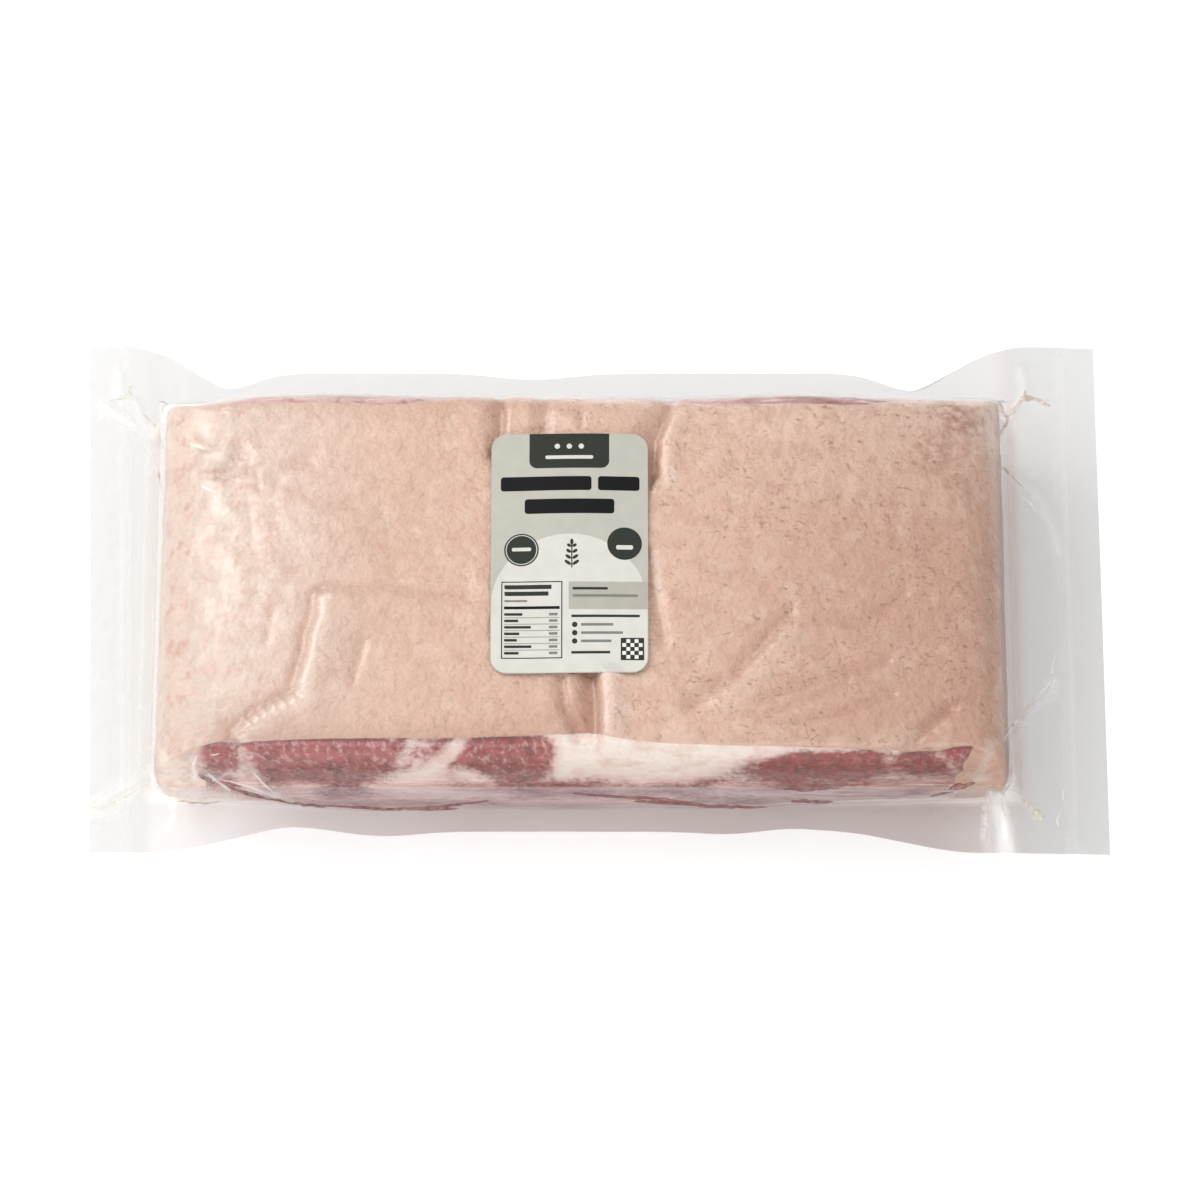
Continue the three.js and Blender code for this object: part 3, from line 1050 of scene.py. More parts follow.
@dataclass(frozen=True)
class RingGrid:
    """A grid with a ring of points round it, finer towards the corners."""

    length: int = 240
    width: int = 116
    crowding: float = 0.2

    def square(self) -> tuple[Array, Array]:
        """X and Y of the ring on the square from -1 to 1, anticlockwise from the front left corner.

        Returns:
            The ring's X and its Y.
        """

        def side(count: int) -> Array:
            """Places along one side."""
            even = np.linspace(-1.0, 1.0, count, endpoint=False)
            return mix(even, np.sin(even * math.pi / 2.0), self.crowding)

        along, across = side(self.length), side(self.width)
        far, near = np.ones(self.width), np.ones(self.length)
        return (
            np.concatenate([along, far, -along, -far]),
            np.concatenate([-near, across, near, -across]),
        )

    def on_box(self, box: Box) -> tuple[Array, Array, dict[Side, Array]]:
        """Lays the ring on a rounded rectangle.

        Args:
            box: The rectangle.

        Returns:
            The ring's X and Y, and how much each point belongs to each side.
        """
        sx, sy = self.square()
        half_x, half_y = (box.right - box.left) / 2.0, (box.back - box.front) / 2.0
        x, y = sx * half_x, sy * half_y
        over_x = np.abs(x) - (half_x - box.radius)
        over_y = np.abs(y) - (half_y - box.radius)
        corner = (over_x > 0.0) & (over_y > 0.0)
        reach = np.where(corner, np.hypot(over_x, over_y), 1.0)
        on_end = np.abs(sx) >= 1.0
        normal_x = np.where(corner, np.sign(sx) * over_x / reach, np.where(on_end, sx, 0.0))
        normal_y = np.where(corner, np.sign(sy) * over_y / reach, np.where(on_end, 0.0, sy))
        x = np.where(corner, np.sign(sx) * (half_x - box.radius) + normal_x * box.radius, x)
        y = np.where(corner, np.sign(sy) * (half_y - box.radius) + normal_y * box.radius, y)
        shares = {}
        for side in Side:
            faced_x, faced_y = normal_x * side.value[0], normal_y * side.value[1]
            shares[side] = np.maximum(0.0, faced_x) ** 2 + np.maximum(0.0, faced_y) ** 2
        return x + (box.left + box.right) / 2.0, y + (box.front + box.back) / 2.0, shares

    def fill(self, skin: Skin, numbers: Array, ring: Array, heights: Heights) -> None:
        """Fills a ring with a grid that blends in from its border, at the heights given.

        Args:
            skin: Where the points and faces go.
            numbers: The ring's point numbers.
            ring: The ring's points.
            heights: The height at an X and Y.
        """
        nx, ny = self.length, self.width
        closed = np.append(numbers, numbers[0])
        bottom, right = closed[: nx + 1], closed[nx : nx + ny + 1]
        top = closed[nx + ny : 2 * nx + ny + 1][::-1]
        left = closed[2 * nx + ny :][::-1]
        places = {int(n): p for n, p in zip(numbers, ring, strict=True)}
        border = [np.array([places[int(n)] for n in edge]) for edge in (bottom, right, top, left)]
        u = np.linspace(0.0, 1.0, nx + 1)[None, :, None]
        v = np.linspace(0.0, 1.0, ny + 1)[:, None, None]
        low, high = border[0][None], border[2][None]
        first, last = border[3][:, None], border[1][:, None]
        corners = mix(mix(low[:, :1], low[:, -1:], u), mix(high[:, :1], high[:, -1:], u), v)
        blend = mix(low, high, v) + mix(first, last, u) - corners
        blend[..., 2] = heights(blend[..., 0], blend[..., 1])
        rows = np.empty((ny + 1, nx + 1), int)
        rows[1:-1, 1:-1] = skin.row(blend[1:-1, 1:-1])
        rows[0], rows[-1], rows[:, 0], rows[:, -1] = bottom, top, left, right
        skin.sheet(rows)


@dataclass(frozen=True)
class TopRelief:
    """The rind's rises, creases and steps as the film over it shows them, and the painted shade and
    highlights on them.
    """

    mounds: tuple[tuple[float, float, float, float, float], ...] = (
        (-88.0, 4.0, 46.0, 44.0, 2.4),
        (78.0, 2.0, 44.0, 42.0, 2.2),
        (-4.0, 0.0, 24.0, 60.0, 1.5),
        (-36.0, -11.0, 5.0, 14.0, 0.9),
        (28.0, -22.0, 5.0, 9.0, 0.6),
    )
    waves: tuple[Quad, ...] = (
        (0.052, 0.021, 0.7, 0.3),
        (-0.031, 0.083, 2.1, 0.25),
        (0.093, -0.064, 4.0, 0.2),
    )
    creases: tuple[Stroke, ...] = (
        Stroke(((-29.3, 66), (-30.0, 52), (-31.0, 42)), 4.2, -2.5, 1.1),
        Stroke(((-14.8, 66), (-15.2, 47)), 4.6, -1.4, 1.1),
        Stroke(((-3.4, 65), (-3.6, 50)), 1.3, -0.7),
        Stroke(((28.5, 66), (25.5, 56), (21.4, 46), (21.0, 33)), 5.5, -2.6, 1.5),
        Stroke(((19.0, 4), (20.5, -10), (24.0, -28)), 3.2, -1.2, 2.0),
        Stroke(((-9.5, -42), (-8.4, -51), (-5.0, -58), (-3.4, -63)), 3.0, -1.7, 1.2),
        Stroke(((0.6, -40), (1.4, -52), (1.6, -68)), 4.6, -3.2, 1.3),
        Stroke(((66.0, -18), (55.0, -31), (47.0, -40), (33.0, -51)), 3.4, -1.3, 1.8),
        Stroke(((97.0, -36), (80.0, -40.5), (56.0, -49.5)), 2.4, -1.0, 1.6),
        Stroke(((99.0, -47.5), (82.0, -54), (64.0, -58)), 2.2, -0.9, 1.5),
        Stroke(((84.0, -43.5), (70.0, -50.0), (58.0, -54.5)), 2.0, -0.7, 1.4),
        Stroke(((104.0, -12.0), (92.0, -20.0), (84.0, -22.0)), 3.0, -0.9, 2.0),
        Stroke(((-72.0, 10.0), (-66.0, -2.0)), 4.0, -0.5),
        Stroke(((-98.0, 26.0), (-90.0, 20.0), (-80.0, 21.0)), 3.4, -0.6),
        Stroke(((119.0, -51), (112.0, -57), (103.0, -67)), 2.0, -1.9, 1.8),
        Stroke(((-75.0, -29), (-76.4, -35), (-78.4, -43)), 2.6, -0.8, 1.5),
        Stroke(((-105.3, -18), (-107.2, -29)), 2.4, -0.6, 1.8),
        Stroke(((-100.5, 35.5), (-95.0, 37.6)), 2.2, -0.9),
        Stroke(((-130.0, 33.0), (-124.0, 32.6), (-115.0, 33.6)), 1.5, -1.0),
        Stroke(((-121.5, 36.5), (-117.6, 39.5), (-116.5, 43.5)), 1.3, -1.0),
        Stroke(((-120.7, 29.5), (-120.2, 24.5), (-118.6, 20.0)), 1.2, -0.7),
        Stroke(((-134.0, 49.0), (-131.0, 44.5), (-127.5, 42.5)), 1.6, -1.0),
        Stroke(((-112.0, 33.0), (-111.0, 27.5)), 1.2, -0.5),
        Stroke(((-129.0, 24.0), (-126.6, 17.5)), 1.2, -0.5),
        Stroke(((-124.5, 8.0), (-122.0, -2.0)), 1.4, -0.4),
        Stroke(((-114.0, 20.0), (-112.6, 9.0)), 1.4, -0.4),
    )
    ridges: tuple[Stroke, ...] = (
        Stroke(((31.0, 62), (27.0, 46), (26.5, 30)), 3.0, 0.8),
        Stroke(((6.5, -42), (7.0, -69)), 4.0, 1.9),
        Stroke(((67.0, -27), (44.0, -52)), 4.4, 0.9),
        Stroke(((-120.0, -4), (-119.0, -40)), 8.0, 0.6),
        Stroke(((104.0, -62), (98.0, -66)), 4.0, 0.8),
    )
    sparks: tuple[Stroke, ...] = (
        Stroke(((-134.8, 46.6), (-129.6, 44.4)), 0.5, 0.9),
        Stroke(((-128.0, 41.5), (-122.5, 38.5)), 1.6, 0.5),
        Stroke(((-114.6, 43.0), (-112.4, 40.0), (-114.0, 36.5)), 0.8, 0.6),
        Stroke(((-128.5, 31.0), (-126.0, 25.0), (-126.5, 20.0)), 1.6, 0.45),
        Stroke(((-122.5, 27.0), (-122.0, 16.0)), 1.8, 0.4),
        Stroke(((-117.6, 30.5), (-113.0, 30.0)), 1.2, 0.5),
        Stroke(((-109.0, 22.0), (-104.0, 24.5)), 1.1, 0.4),
        Stroke(((-131.0, 10.0), (-129.0, 2.0)), 1.6, 0.3),
    )
    step: Stroke = Stroke(
        (
            (-43.0, -15.0),
            (-50.0, -14.7),
            (-66.6, -11.4),
            (-78.2, -12.6),
            (-86.5, -11.4),
            (-90.2, -13.6),
            (-90.4, -20.5),
            (-92.6, -27.0),
            (-93.4, -34.0),
            (-96.0, -43.0),
            (-96.8, -48.8),
            (-103.0, -51.6),
            (-109.6, -55.4),
            (-114.6, -59.4),
            (-116.4, -65.0),
        ),
        4.8,
        2.3,
    )
    step_fade: float = 12.0
    step_start: float = 0.3
    step_grown_at: float = 52.0
    turn_at: float = 44.0
    turn_length: float = 6.0
    toothed_at: float = 80.0
    toothed_length: float = 8.0
    tooth: float = 3.4
    tooth_depth: float = 0.5
    tooth_reach: float = 3.0
    scallop: float = 0.4
    scallop_at: float = 1.6
    scallop_width: float = 2.4
    hollow: float = 0.8
    hollow_start: float = 0.3
    hollow_at: float = 3.4
    hollow_width: float = 2.2
    hollow_reach: float = 5.0
    uneven: Lumps = Lumps(5.0, 17)
    unevenness: float = 1.6
    crease_shade: float = 0.3
    foot_shade: float = 0.55
    foot_at: float = 2.6
    foot_widths: Point = (1.6, 2.2)
    foot_start: float = 0.35
    foot_reach: float = 8.0
    front_shade: Ramp = Ramp(-53.0, -64.0, 0.4)
    front_shade_ends: Ramp = Ramp(-12.0, 18.0)
    back_shade: Ramp = Ramp(50.0, 62.0, 0.22)
    back_shade_ends: Ramp = Ramp(-40.0, 10.0)
    edge_glint: float = 0.5
    edge_at: float = 1.8
    edge_width: float = 3.0
    edge_line: Point = (0.25, 0.75)
    edge_reach: float = 9.0
    ridge_glint: float = 0.16

    def bed(self, x: Array, y: Array) -> Array:
        """The slow rises alone, which the label follows too.

        Args:
            x: The points' X.
            y: The points' Y.

        Returns:
            The heights.
        """
        height = np.full(np.shape(x), TOP_HEIGHT)
        for mx, my, rx, ry, rise in self.mounds:
            height = height + rise * bell(np.hypot((x - mx) / rx, (y - my) / ry))
        for kx, ky, phase, rise in self.waves:
            height = height + rise * np.sin(kx * x + ky * y + phase)
        return height

    def teeth(self, along: Array) -> Array:
        """The step's teeth along it, from -1 to 1: uneven, and only past its smooth first part."""
        wave = np.sin(2.0 * math.pi * along / self.tooth + self.unevenness * self.uneven.at(along, along))
        return wave * smooth((along - self.toothed_at) / self.toothed_length + 0.5)

    def upright(self, along: Array) -> Array:
        """How far the step has turned towards the front, from 0 to 1."""
        return smooth((along - self.turn_at) / self.turn_length + 0.5)

    def stepped(self, x: Array, y: Array) -> Array:
        """The toothed step, which grows along its line and fades away behind it.

        Args:
            x: The points' X.
            y: The points' Y.

        Returns:
            The heights.
        """
        off, signed, along = self.step.beside(x, y)
        teeth = self.teeth(along)
        toothed = signed + self.tooth_depth * teeth * bell(off / self.tooth_reach)
        grown = mix(self.step_start, 1.0, smooth(along / self.step_grown_at))
        raised = smooth(toothed / self.step.width + 0.5)
        scallop = self.scallop * teeth * bell((signed - self.scallop_at) / self.scallop_width)
        hollow = self.hollow * mix(self.hollow_start, 1.0, self.upright(along))
        hollow = hollow * bell((signed + self.hollow_at) / self.hollow_width) * bell(off / self.hollow_reach)
        return self.step.height * grown * raised * bell(off / self.step_fade) + scallop - hollow

    def shade(self, x: Array, y: Array) -> Array:
        """How much painted shade falls on a point: in a crease, at the step's foot and along the front and
        back, from 0 to 1.

        Args:
            x: The points' X.
            y: The points' Y.

        Returns:
            The share of painted shade.
        """
        deep = sum(-stroke.relief(x, y) for stroke in self.creases)
        off, signed, along = self.step.beside(x, y)
        upright = self.upright(along)
        foot = bell((signed + self.foot_at) / mix(*self.foot_widths, upright))
        foot = foot * mix(self.foot_start, 1.0, upright) * (off < self.foot_reach)
        at_front = self.front_shade.at(y) * (1.0 - self.front_shade_ends.at(x))
        at_back = self.back_shade.at(y) * (1.0 - self.back_shade_ends.at(x))
        return np.clip(self.crease_shade * deep + self.foot_shade * foot + at_front + at_back, 0.0, 1.0)

    def glint(self, x: Array, y: Array) -> Array:
        """How bright the film makes the step's toothed edge and the ridges, from 0 to 1.

        Args:
            x: The points' X.
            y: The points' Y.

        Returns:
            The share of brightness.
        """
        off, signed, along = self.step.beside(x, y)
        share, least = self.edge_line
        edge = bell((signed - self.edge_at) / self.edge_width) * (least + share * self.teeth(along))
        edge = edge * self.upright(along) * (off < self.edge_reach)
        ridge = sum(stroke.relief(x, y) for stroke in self.ridges)
        spark = sum(bell(stroke.beside(x, y)[0] / stroke.width) * stroke.height for stroke in self.sparks)
        return np.clip(self.edge_glint * edge + self.ridge_glint * ridge + spark, 0.0, 1.0)

    def height(self, x: Array, y: Array) -> Array:
        """The top with its creases, ridges and step."""
        drawn = sum(stroke.relief(x, y) for stroke in self.creases + self.ridges)
        return self.bed(x, y) + drawn + self.stepped(x, y)


@dataclass(frozen=True)
class PackForm:
    """The form that the slab and its film share: rings that roll up and down from mid height."""

    grid: RingGrid = RingGrid()
    relief: TopRelief = TopRelief()
    angles: tuple[float, ...] = tuple(np.linspace(4.0, 90.0, 24))
    angles_below: tuple[float, ...] = tuple(np.linspace(5.0, 90.0, 16))
    slant: float = 65.0
    slant_start: float = 46.0
    bellies: tuple[Triple, ...] = (
        (-72.0, 30.0, 5.4),
        (-10.0, 34.0, 4.4),
        (44.0, 24.0, 3.6),
        (-150.0, 26.0, -5.0),
        (140.0, 34.0, -6.0),
    )
    back_bellies: tuple[Triple, ...] = (
        (-88.0, 36.0, 7.5),
        (-28.0, 27.0, 3.1),
        (66.0, 30.0, 7.0),
        (128.0, 20.0, -2.0),
        (-142.0, 14.0, -3.0),
    )
    dip: float = 3.0
    dip_start: float = -112.0
    dip_length: float = 30.0
    dip_grown_at: float = 22.0
    front_middle: float = -1.7
    back_middle: float = 2.7

    def belly(self, x: Array, places: tuple[Triple, ...]) -> Array:
        """How much fuller a side is at x than its roll says."""
        return sum(depth * bell((x - at) / width) for at, width, depth in places)

    def ring(self, box: Box, rolls: dict[Side, Roll], degrees: float, heights: Heights) -> Array:
        """One ring of the roll.

        Args:
            box: The outline at mid height.
            rolls: How each side rolls.
            degrees: How far round the roll, from 0 at mid height to 90.
            heights: The height that the roll ends at.

        Returns:
            The ring's points.
        """
        turn = math.radians(degrees)
        cosine = max(0.0, math.cos(turn)) if degrees < 90.0 else 0.0
        inset = {}
        for side, roll in rolls.items():
            inset[side] = roll.reach * (1.0 - cosine ** (2.0 / roll.squareness))
        x, y, shares = self.grid.on_box(box.inset(inset))
        if rolls is ROLL_DOWN:
            fuller = shares[Side.FRONT] * self.belly(x, self.bellies)
            y = y - fuller * inset[Side.FRONT] / rolls[Side.FRONT].reach
        else:
            fuller = shares[Side.BACK] * self.belly(x, self.back_bellies)
            y = y + fuller * inset[Side.BACK] / rolls[Side.BACK].reach
            dip = smooth((self.dip_start - x) / self.dip_length) * smooth(degrees / self.dip_grown_at)
            y = y - shares[Side.BACK] * self.dip * dip
        rise = sum(shares[side] * math.sin(turn) ** (2.0 / roll.squareness) for side, roll in rolls.items())
        return np.stack([x, y, mix(MID_HEIGHT, heights(x, y), rise)], axis=1)

    def down_front(self, y: Array, z: Array) -> Array:
        """How far down the rolled front face a point lies, from about 0 at the rind's edge.

        Args:
            y: The points' Y.
            z: The points' Z.

        Returns:
            The distances down the face.
        """
        turn = math.radians(self.slant)
        out = (y - self.front_middle) * math.sin(turn) + (z - MID_HEIGHT) * math.cos(turn)
        return -out - self.slant_start

    def down_back(self, y: Array, z: Array) -> Array:
        """The same down the back face.

        Args:
            y: The points' Y.
            z: The points' Z.

        Returns:
            The distances down the face.
        """
        turn = math.radians(self.slant)
        out = (y - self.back_middle) * math.sin(turn) - (z - MID_HEIGHT) * math.cos(turn)
        return out - self.slant_start

    def upper(self, box: Box, heights: Heights) -> list[Array]:
        """The rings from just above mid height to the top."""
        return [self.ring(box, ROLL_UP, angle, heights) for angle in self.angles]

    def lower(self, box: Box, base: float) -> list[Array]:
        """The rings from just below mid height to the base.

        Args:
            box: The outline at mid height.
            base: The base's height.

        Returns:
            The rings.
        """

        def level(x: Array, y: Array) -> Array:
            """The base is flat."""
            return np.full(np.shape(x), base)

        return [self.ring(box, ROLL_DOWN, angle, level) for angle in self.angles_below]


# ---------------------------------------------------------------- the slab of pork


@dataclass(frozen=True)
class LeanPatch:
    """A lens of lean in a cut face: its middle along the face and down it, half sizes and tilt."""

    along: float
    down: float
    half_length: float
    half_height: float
    tilt: float = 0.0
    squareness: float = 2.4

    def depth(self, along: Array, down: Array) -> Array:
        """About how far inside the patch a point lies, below 0 outside it.

        Args:
            along: How far along it the points lie.
            down: How far down it they lie.

        Returns:
            The depths.
        """
        turn = math.radians(self.tilt)
        a, d = along - self.along, down - self.down
        u = a * math.cos(turn) - d * math.sin(turn)
        v = a * math.sin(turn) + d * math.cos(turn)
        power = self.squareness
        total = np.abs(u / self.half_length) ** power + np.abs(v / self.half_height) ** power
        return (1.0 - total ** (1.0 / power)) * self.half_height


def deepest(patches: tuple[LeanPatch, ...], along: Array, down: Array) -> Array:
    """How deep in any of these patches a point lies, below 0 outside them all."""
    return np.max([patch.depth(along, down) for patch in patches], axis=0)


@dataclass
class PorkSlab:
    """The slab: rind over the top and both ends, and cut flesh along the front and back."""

    form: PackForm
    finish: RindAndFlesh = RindAndFlesh()
    clearance: float = 0.35
    left_clearance: float = 0.35
    right_clearance: float = 0.8
    left_slant: float = 0.6
    front_edge: tuple[Point, ...] = (
        (-131.0, 4.0),
        (-127.0, 1.6),
        (-119.0, 0.0),
        (-115.0, 0.9),
        (-104.0, 0.1),
        (-76.0, -0.7),
        (-45.0, -0.8),
        (-18.0, -1.7),
        (-1.0, -2.5),
        (4.0, -1.8),
        (11.0, -0.4),
        (27.0, 1.5),
        (72.0, 2.5),
        (104.0, 4.1),
        (114.0, 3.7),
        (119.0, 2.4),
        (129.0, 1.9),
    )
    front_lean: tuple[LeanPatch, ...] = (
        LeanPatch(-121.6, 6.0, 7.5, 5.8, 14.0, 2.6),
        LeanPatch(-88.0, 6.0, 25.5, 10.0, 0.0, 4.0),
        LeanPatch(-50.0, 0.4, 8.5, 1.8, 0.0),
        LeanPatch(-62.0, 5.0, 5.0, 8.0, -25.0, 2.4),
        LeanPatch(-52.5, 4.2, 6.5, 2.3, 38.0),
        LeanPatch(-36.0, 5.4, 11.5, 8.6, 0.0, 3.4),
        LeanPatch(-23.5, 6.6, 10.5, 9.0, 0.0, 3.4),
        LeanPatch(73.0, 9.9, 25.5, 5.2, 7.0, 2.3),
        LeanPatch(84.0, 9.4, 14.0, 5.6, 0.0, 2.4),
        LeanPatch(45.5, 14.0, 11.0, 0.9, 12.0),
        LeanPatch(112.5, 7.4, 12.8, 5.6, 2.0, 3.0),
        LeanPatch(120.5, 5.6, 8.5, 4.8, 8.0, 2.6),
        LeanPatch(101.5, 9.8, 3.5, 0.6, 4.0),
        LeanPatch(-121.0, 14.6, 8.0, 1.0, -34.0),
        LeanPatch(-110.5, 12.6, 4.5, 1.3, -52.0),
        LeanPatch(-107.0, 20.4, 11.0, 0.8, -12.0),
        LeanPatch(-82.0, 18.4, 9.0, 3.2, 0.0),
        LeanPatch(-66.0, 22.4, 24.0, 0.9, 0.0),
        LeanPatch(-19.0, 16.6, 21.0, 1.7, 0.0),
        LeanPatch(-4.0, 19.0, 22.0, 1.2, 0.0),
        LeanPatch(24.0, 18.2, 16.0, 2.0, 0.0),
        LeanPatch(43.0, 21.6, 15.0, 0.9, -2.0),
        LeanPatch(70.0, 17.0, 22.0, 0.9, 4.0),
        LeanPatch(116.0, 16.8, 10.0, 0.9, 12.0),
        LeanPatch(126.0, 15.0, 1.8, 1.6, 0.0),
    )
    white_wedges: tuple[LeanPatch, ...] = (
        LeanPatch(-115.0, 6.6, 4.4, 1.3, -74.0),
        LeanPatch(-112.6, 10.6, 4.0, 1.5, -50.0),
        LeanPatch(-60.5, 5.0, 6.0, 1.7, 62.0),
        LeanPatch(-47.0, 6.0, 8.5, 2.6, 56.0),
        LeanPatch(-58.0, 13.6, 12.0, 3.4, 8.0),
        LeanPatch(-40.0, 13.4, 8.0, 2.6, -14.0),
        LeanPatch(121.6, 7.6, 3.2, 0.5, 58.0),
        LeanPatch(119.0, 9.6, 4.0, 0.7, -40.0),
    )
    back_edge: tuple[Point, ...] = (
        (-134.0, 8.0),
        (-128.0, 0.0),
        (-118.0, -4.2),
        (-92.0, -4.8),
        (-62.0, -4.6),
        (-44.0, 1.5),
        (20.0, 2.0),
        (32.0, -4.4),
        (62.0, -5.2),
        (92.0, -4.6),
        (108.0, 3.0),
        (128.0, 8.0),
    )
    back_lean: tuple[LeanPatch, ...] = (
        LeanPatch(-114.0, -0.6, 10.0, 3.6, 4.0),
        LeanPatch(-72.0, -1.4, 24.0, 3.0, -3.0),
        LeanPatch(66.0, -1.0, 30.0, 3.8, 0.0),
        LeanPatch(-58.0, 13.0, 34.0, 3.6, -3.0),
        LeanPatch(22.0, 11.0, 30.0, 3.0, 5.0),
        LeanPatch(92.0, 14.5, 26.0, 3.2, -4.0),
        LeanPatch(-6.0, 20.0, 50.0, 1.6, 1.0),
    )
    base_lean: tuple[LeanPatch, ...] = (
        LeanPatch(-60.0, 12.0, 52.0, 4.0, 6.0),
        LeanPatch(44.0, -20.0, 60.0, 5.0, -5.0),
        LeanPatch(82.0, 26.0, 30.0, 3.0, 4.0),
    )
    stains: tuple[Quad, ...] = (
        (124.0, 53.0, 7.0, 1.0),
        (119.0, 60.0, 5.0, 0.8),
        (114.0, 40.0, 8.0, 0.9),
        (121.0, 28.0, 6.0, 0.6),
        (112.0, 12.0, 6.0, 0.35),
        (-121.0, 32.0, 8.0, 0.25),
        (120.0, -50.0, 5.0, 0.35),
    )
    # Round patches of painted shade on the rind: X, Y, size and strength.
    tones: tuple[Quad, ...] = (
        (80.0, -14.0, 40.0, 0.2),
        (-26.0, -60.0, 12.0, 0.25),
        (-5.0, -54.0, 9.0, 0.6),
        (-34.0, -4.0, 12.0, 0.15),
    )
    low_start: tuple[Point, ...] = ((-120.0, 9.0), (-96.0, 12.0), (20.0, 12.5), (56.0, 9.5), (130.0, 8.0))
    low_length: float = 4.0
    back_top: Ramp = Ramp(3.0, 6.0)
    patches_up: Ramp = Ramp(30.0, 40.0)
    relief_up: Ramp = Ramp(40.0, 48.0)
    rough: Lumps = Lumps(6.5, 11)
    fine: Lumps = Lumps(2.6, 12)
    ragged: Lumps = Lumps(6.0, 13)
    feathered: Lumps = Lumps(2.4, 14)
    feather: float = 0.7
    faint_back: float = -1.2
    clear_back: float = 2.0
    back_clears: Ramp = Ramp(4.0, 7.0)
    base_down: Ramp = Ramp(2.5, 0.5)
    rind_left: float = -130.5
    rind_right: float = 128.5
    rind_lowest: float = 3.0
    rind_waver: float = 2.2
    rind_slant: float = 0.6
    rind_slant_depth: float = 14.0
    rind_slant_left: float = 0.2
    slant_length: float = 30.0
    slant_from: float = 3.8
    rough_depth: float = 0.3
    fine_depth: float = 0.16
    flesh_sunk: Ramp = Ramp(0.0, -0.8, 0.5)
    lean_sunk: Ramp = Ramp(0.0, 1.5, 0.25)
    lean_sunk_below: Ramp = Ramp(0.0, -1.0)
    foot_up: Ramp = Ramp(0.0, 3.0)

    def box(self) -> Box:
        """The slab's outline at mid height, clear of the film, more so at its two ends."""
        return SLAB_BOX.inset(
            {
                Side.LEFT: self.left_clearance,
                Side.RIGHT: self.right_clearance,
                Side.FRONT: self.clearance,
                Side.BACK: self.clearance,
            }
        )

    def rind_depth(self, x: Array, y: Array, z: Array) -> Array:
        """How far inside the rind's edge each point lies, below 0 on the cut flesh.

        Args:
            x: The points' X.
            y: The points' Y.
            z: The points' Z.

        Returns:
            The depths.
        """
        down = self.form.down_front(y, z)
        front = read_line(x, self.front_edge) - down
        back = read_line(x, self.back_edge) - self.form.down_back(y, z)
        over = np.minimum(np.minimum(front, back), z - MID_HEIGHT)
        waver = self.rind_waver * self.ragged.at(x, y, z)
        slant = self.rind_slant * np.clip(down, 0.0, self.rind_slant_depth) * (y < 0.0)
        left = self.rind_left + self.rind_slant_left * slant - x
        ends = np.maximum(left, x - self.rind_right + slant) + waver
        return np.maximum(over, np.minimum(ends, z - self.rind_lowest))

    def lean_depth(self, x: Array, y: Array, z: Array) -> Array:
        """How far inside the lean each point lies, below 0 on the fat.

        Args:
            x: The points' X.
            y: The points' Y.
            z: The points' Z.

        Returns:
            The depths.
        """
        waver = self.ragged.at(x, y, z) + self.feather * self.feathered.at(x, y, z)
        front, back = self.form.down_front(y, z), self.form.down_back(y, z)
        on_front = np.minimum(deepest(self.front_lean, x, front), -deepest(self.white_wedges, x, front))
        most = mix(self.faint_back, self.clear_back, self.back_clears.at(back))
        on_back = np.minimum(deepest(self.back_lean, x, back), most)
        face = np.where(y < 0.0, on_front, on_back)
        return mix(face, deepest(self.base_lean, x, y), self.base_down.at(z)) + waver

    def low(self, x: Array, y: Array, z: Array) -> Array:
        """How far down the cut faces the greyer, streaky fat has set in, from 0 to 1.

        Args:
            x: The points' X.
            y: The points' Y.
            z: The points' Z.

        Returns:
            The share of greyer fat.
        """
        start = read_line(x, self.low_start)
        at_front = smooth((self.form.down_front(y, z) - start) / self.low_length)
        back = self.form.down_back(y, z)
        at_back = np.maximum(smooth((back - start) / self.low_length), 1.0 - self.back_top.at(back))
        return np.where(y < 0.0, at_front, at_back)

    def patchy(self, x: Array, y: Array, z: Array, patches: tuple[Quad, ...]) -> Array:
        """How deep in soft round patches on the rind a point lies, from 0 to 1."""
        total = sum(deep * bell(np.hypot(x - px, y - py) / size) for px, py, size, deep in patches)
        return np.clip(total, 0.0, 1.0) * self.patches_up.at(z)

    def sunk(self, x: Array, y: Array, z: Array, rind: Array, lean: Array) -> Array:
        """How far under the smooth form each point lies: roughly sunk all over, more on the cut flesh.

        Args:
            x: The points' X.
            y: The points' Y.
            z: The points' Z.
            rind: How far inside the rind they lie.
            lean: How far inside the lean they lie.

        Returns:
            The depths.
        """
        deep = self.rough_depth * (1.0 + self.rough.at(x, y, z))
        deep += self.fine_depth * (1.0 + self.fine.at(x, y, z))
        deep += self.flesh_sunk.at(rind) + self.lean_sunk.at(lean) * self.lean_sunk_below.at(rind)
        return deep * self.foot_up.at(z)

    def build(self) -> bpy.types.Object:
        """Makes the slab, a closed mesh just inside the film.

        Returns:
            The piece.
        """
        skin = Skin()
        box = self.box()

        def heights(x: Array, y: Array) -> Array:
            """The top, just under the film."""
            return self.form.relief.height(x, y) - self.clearance

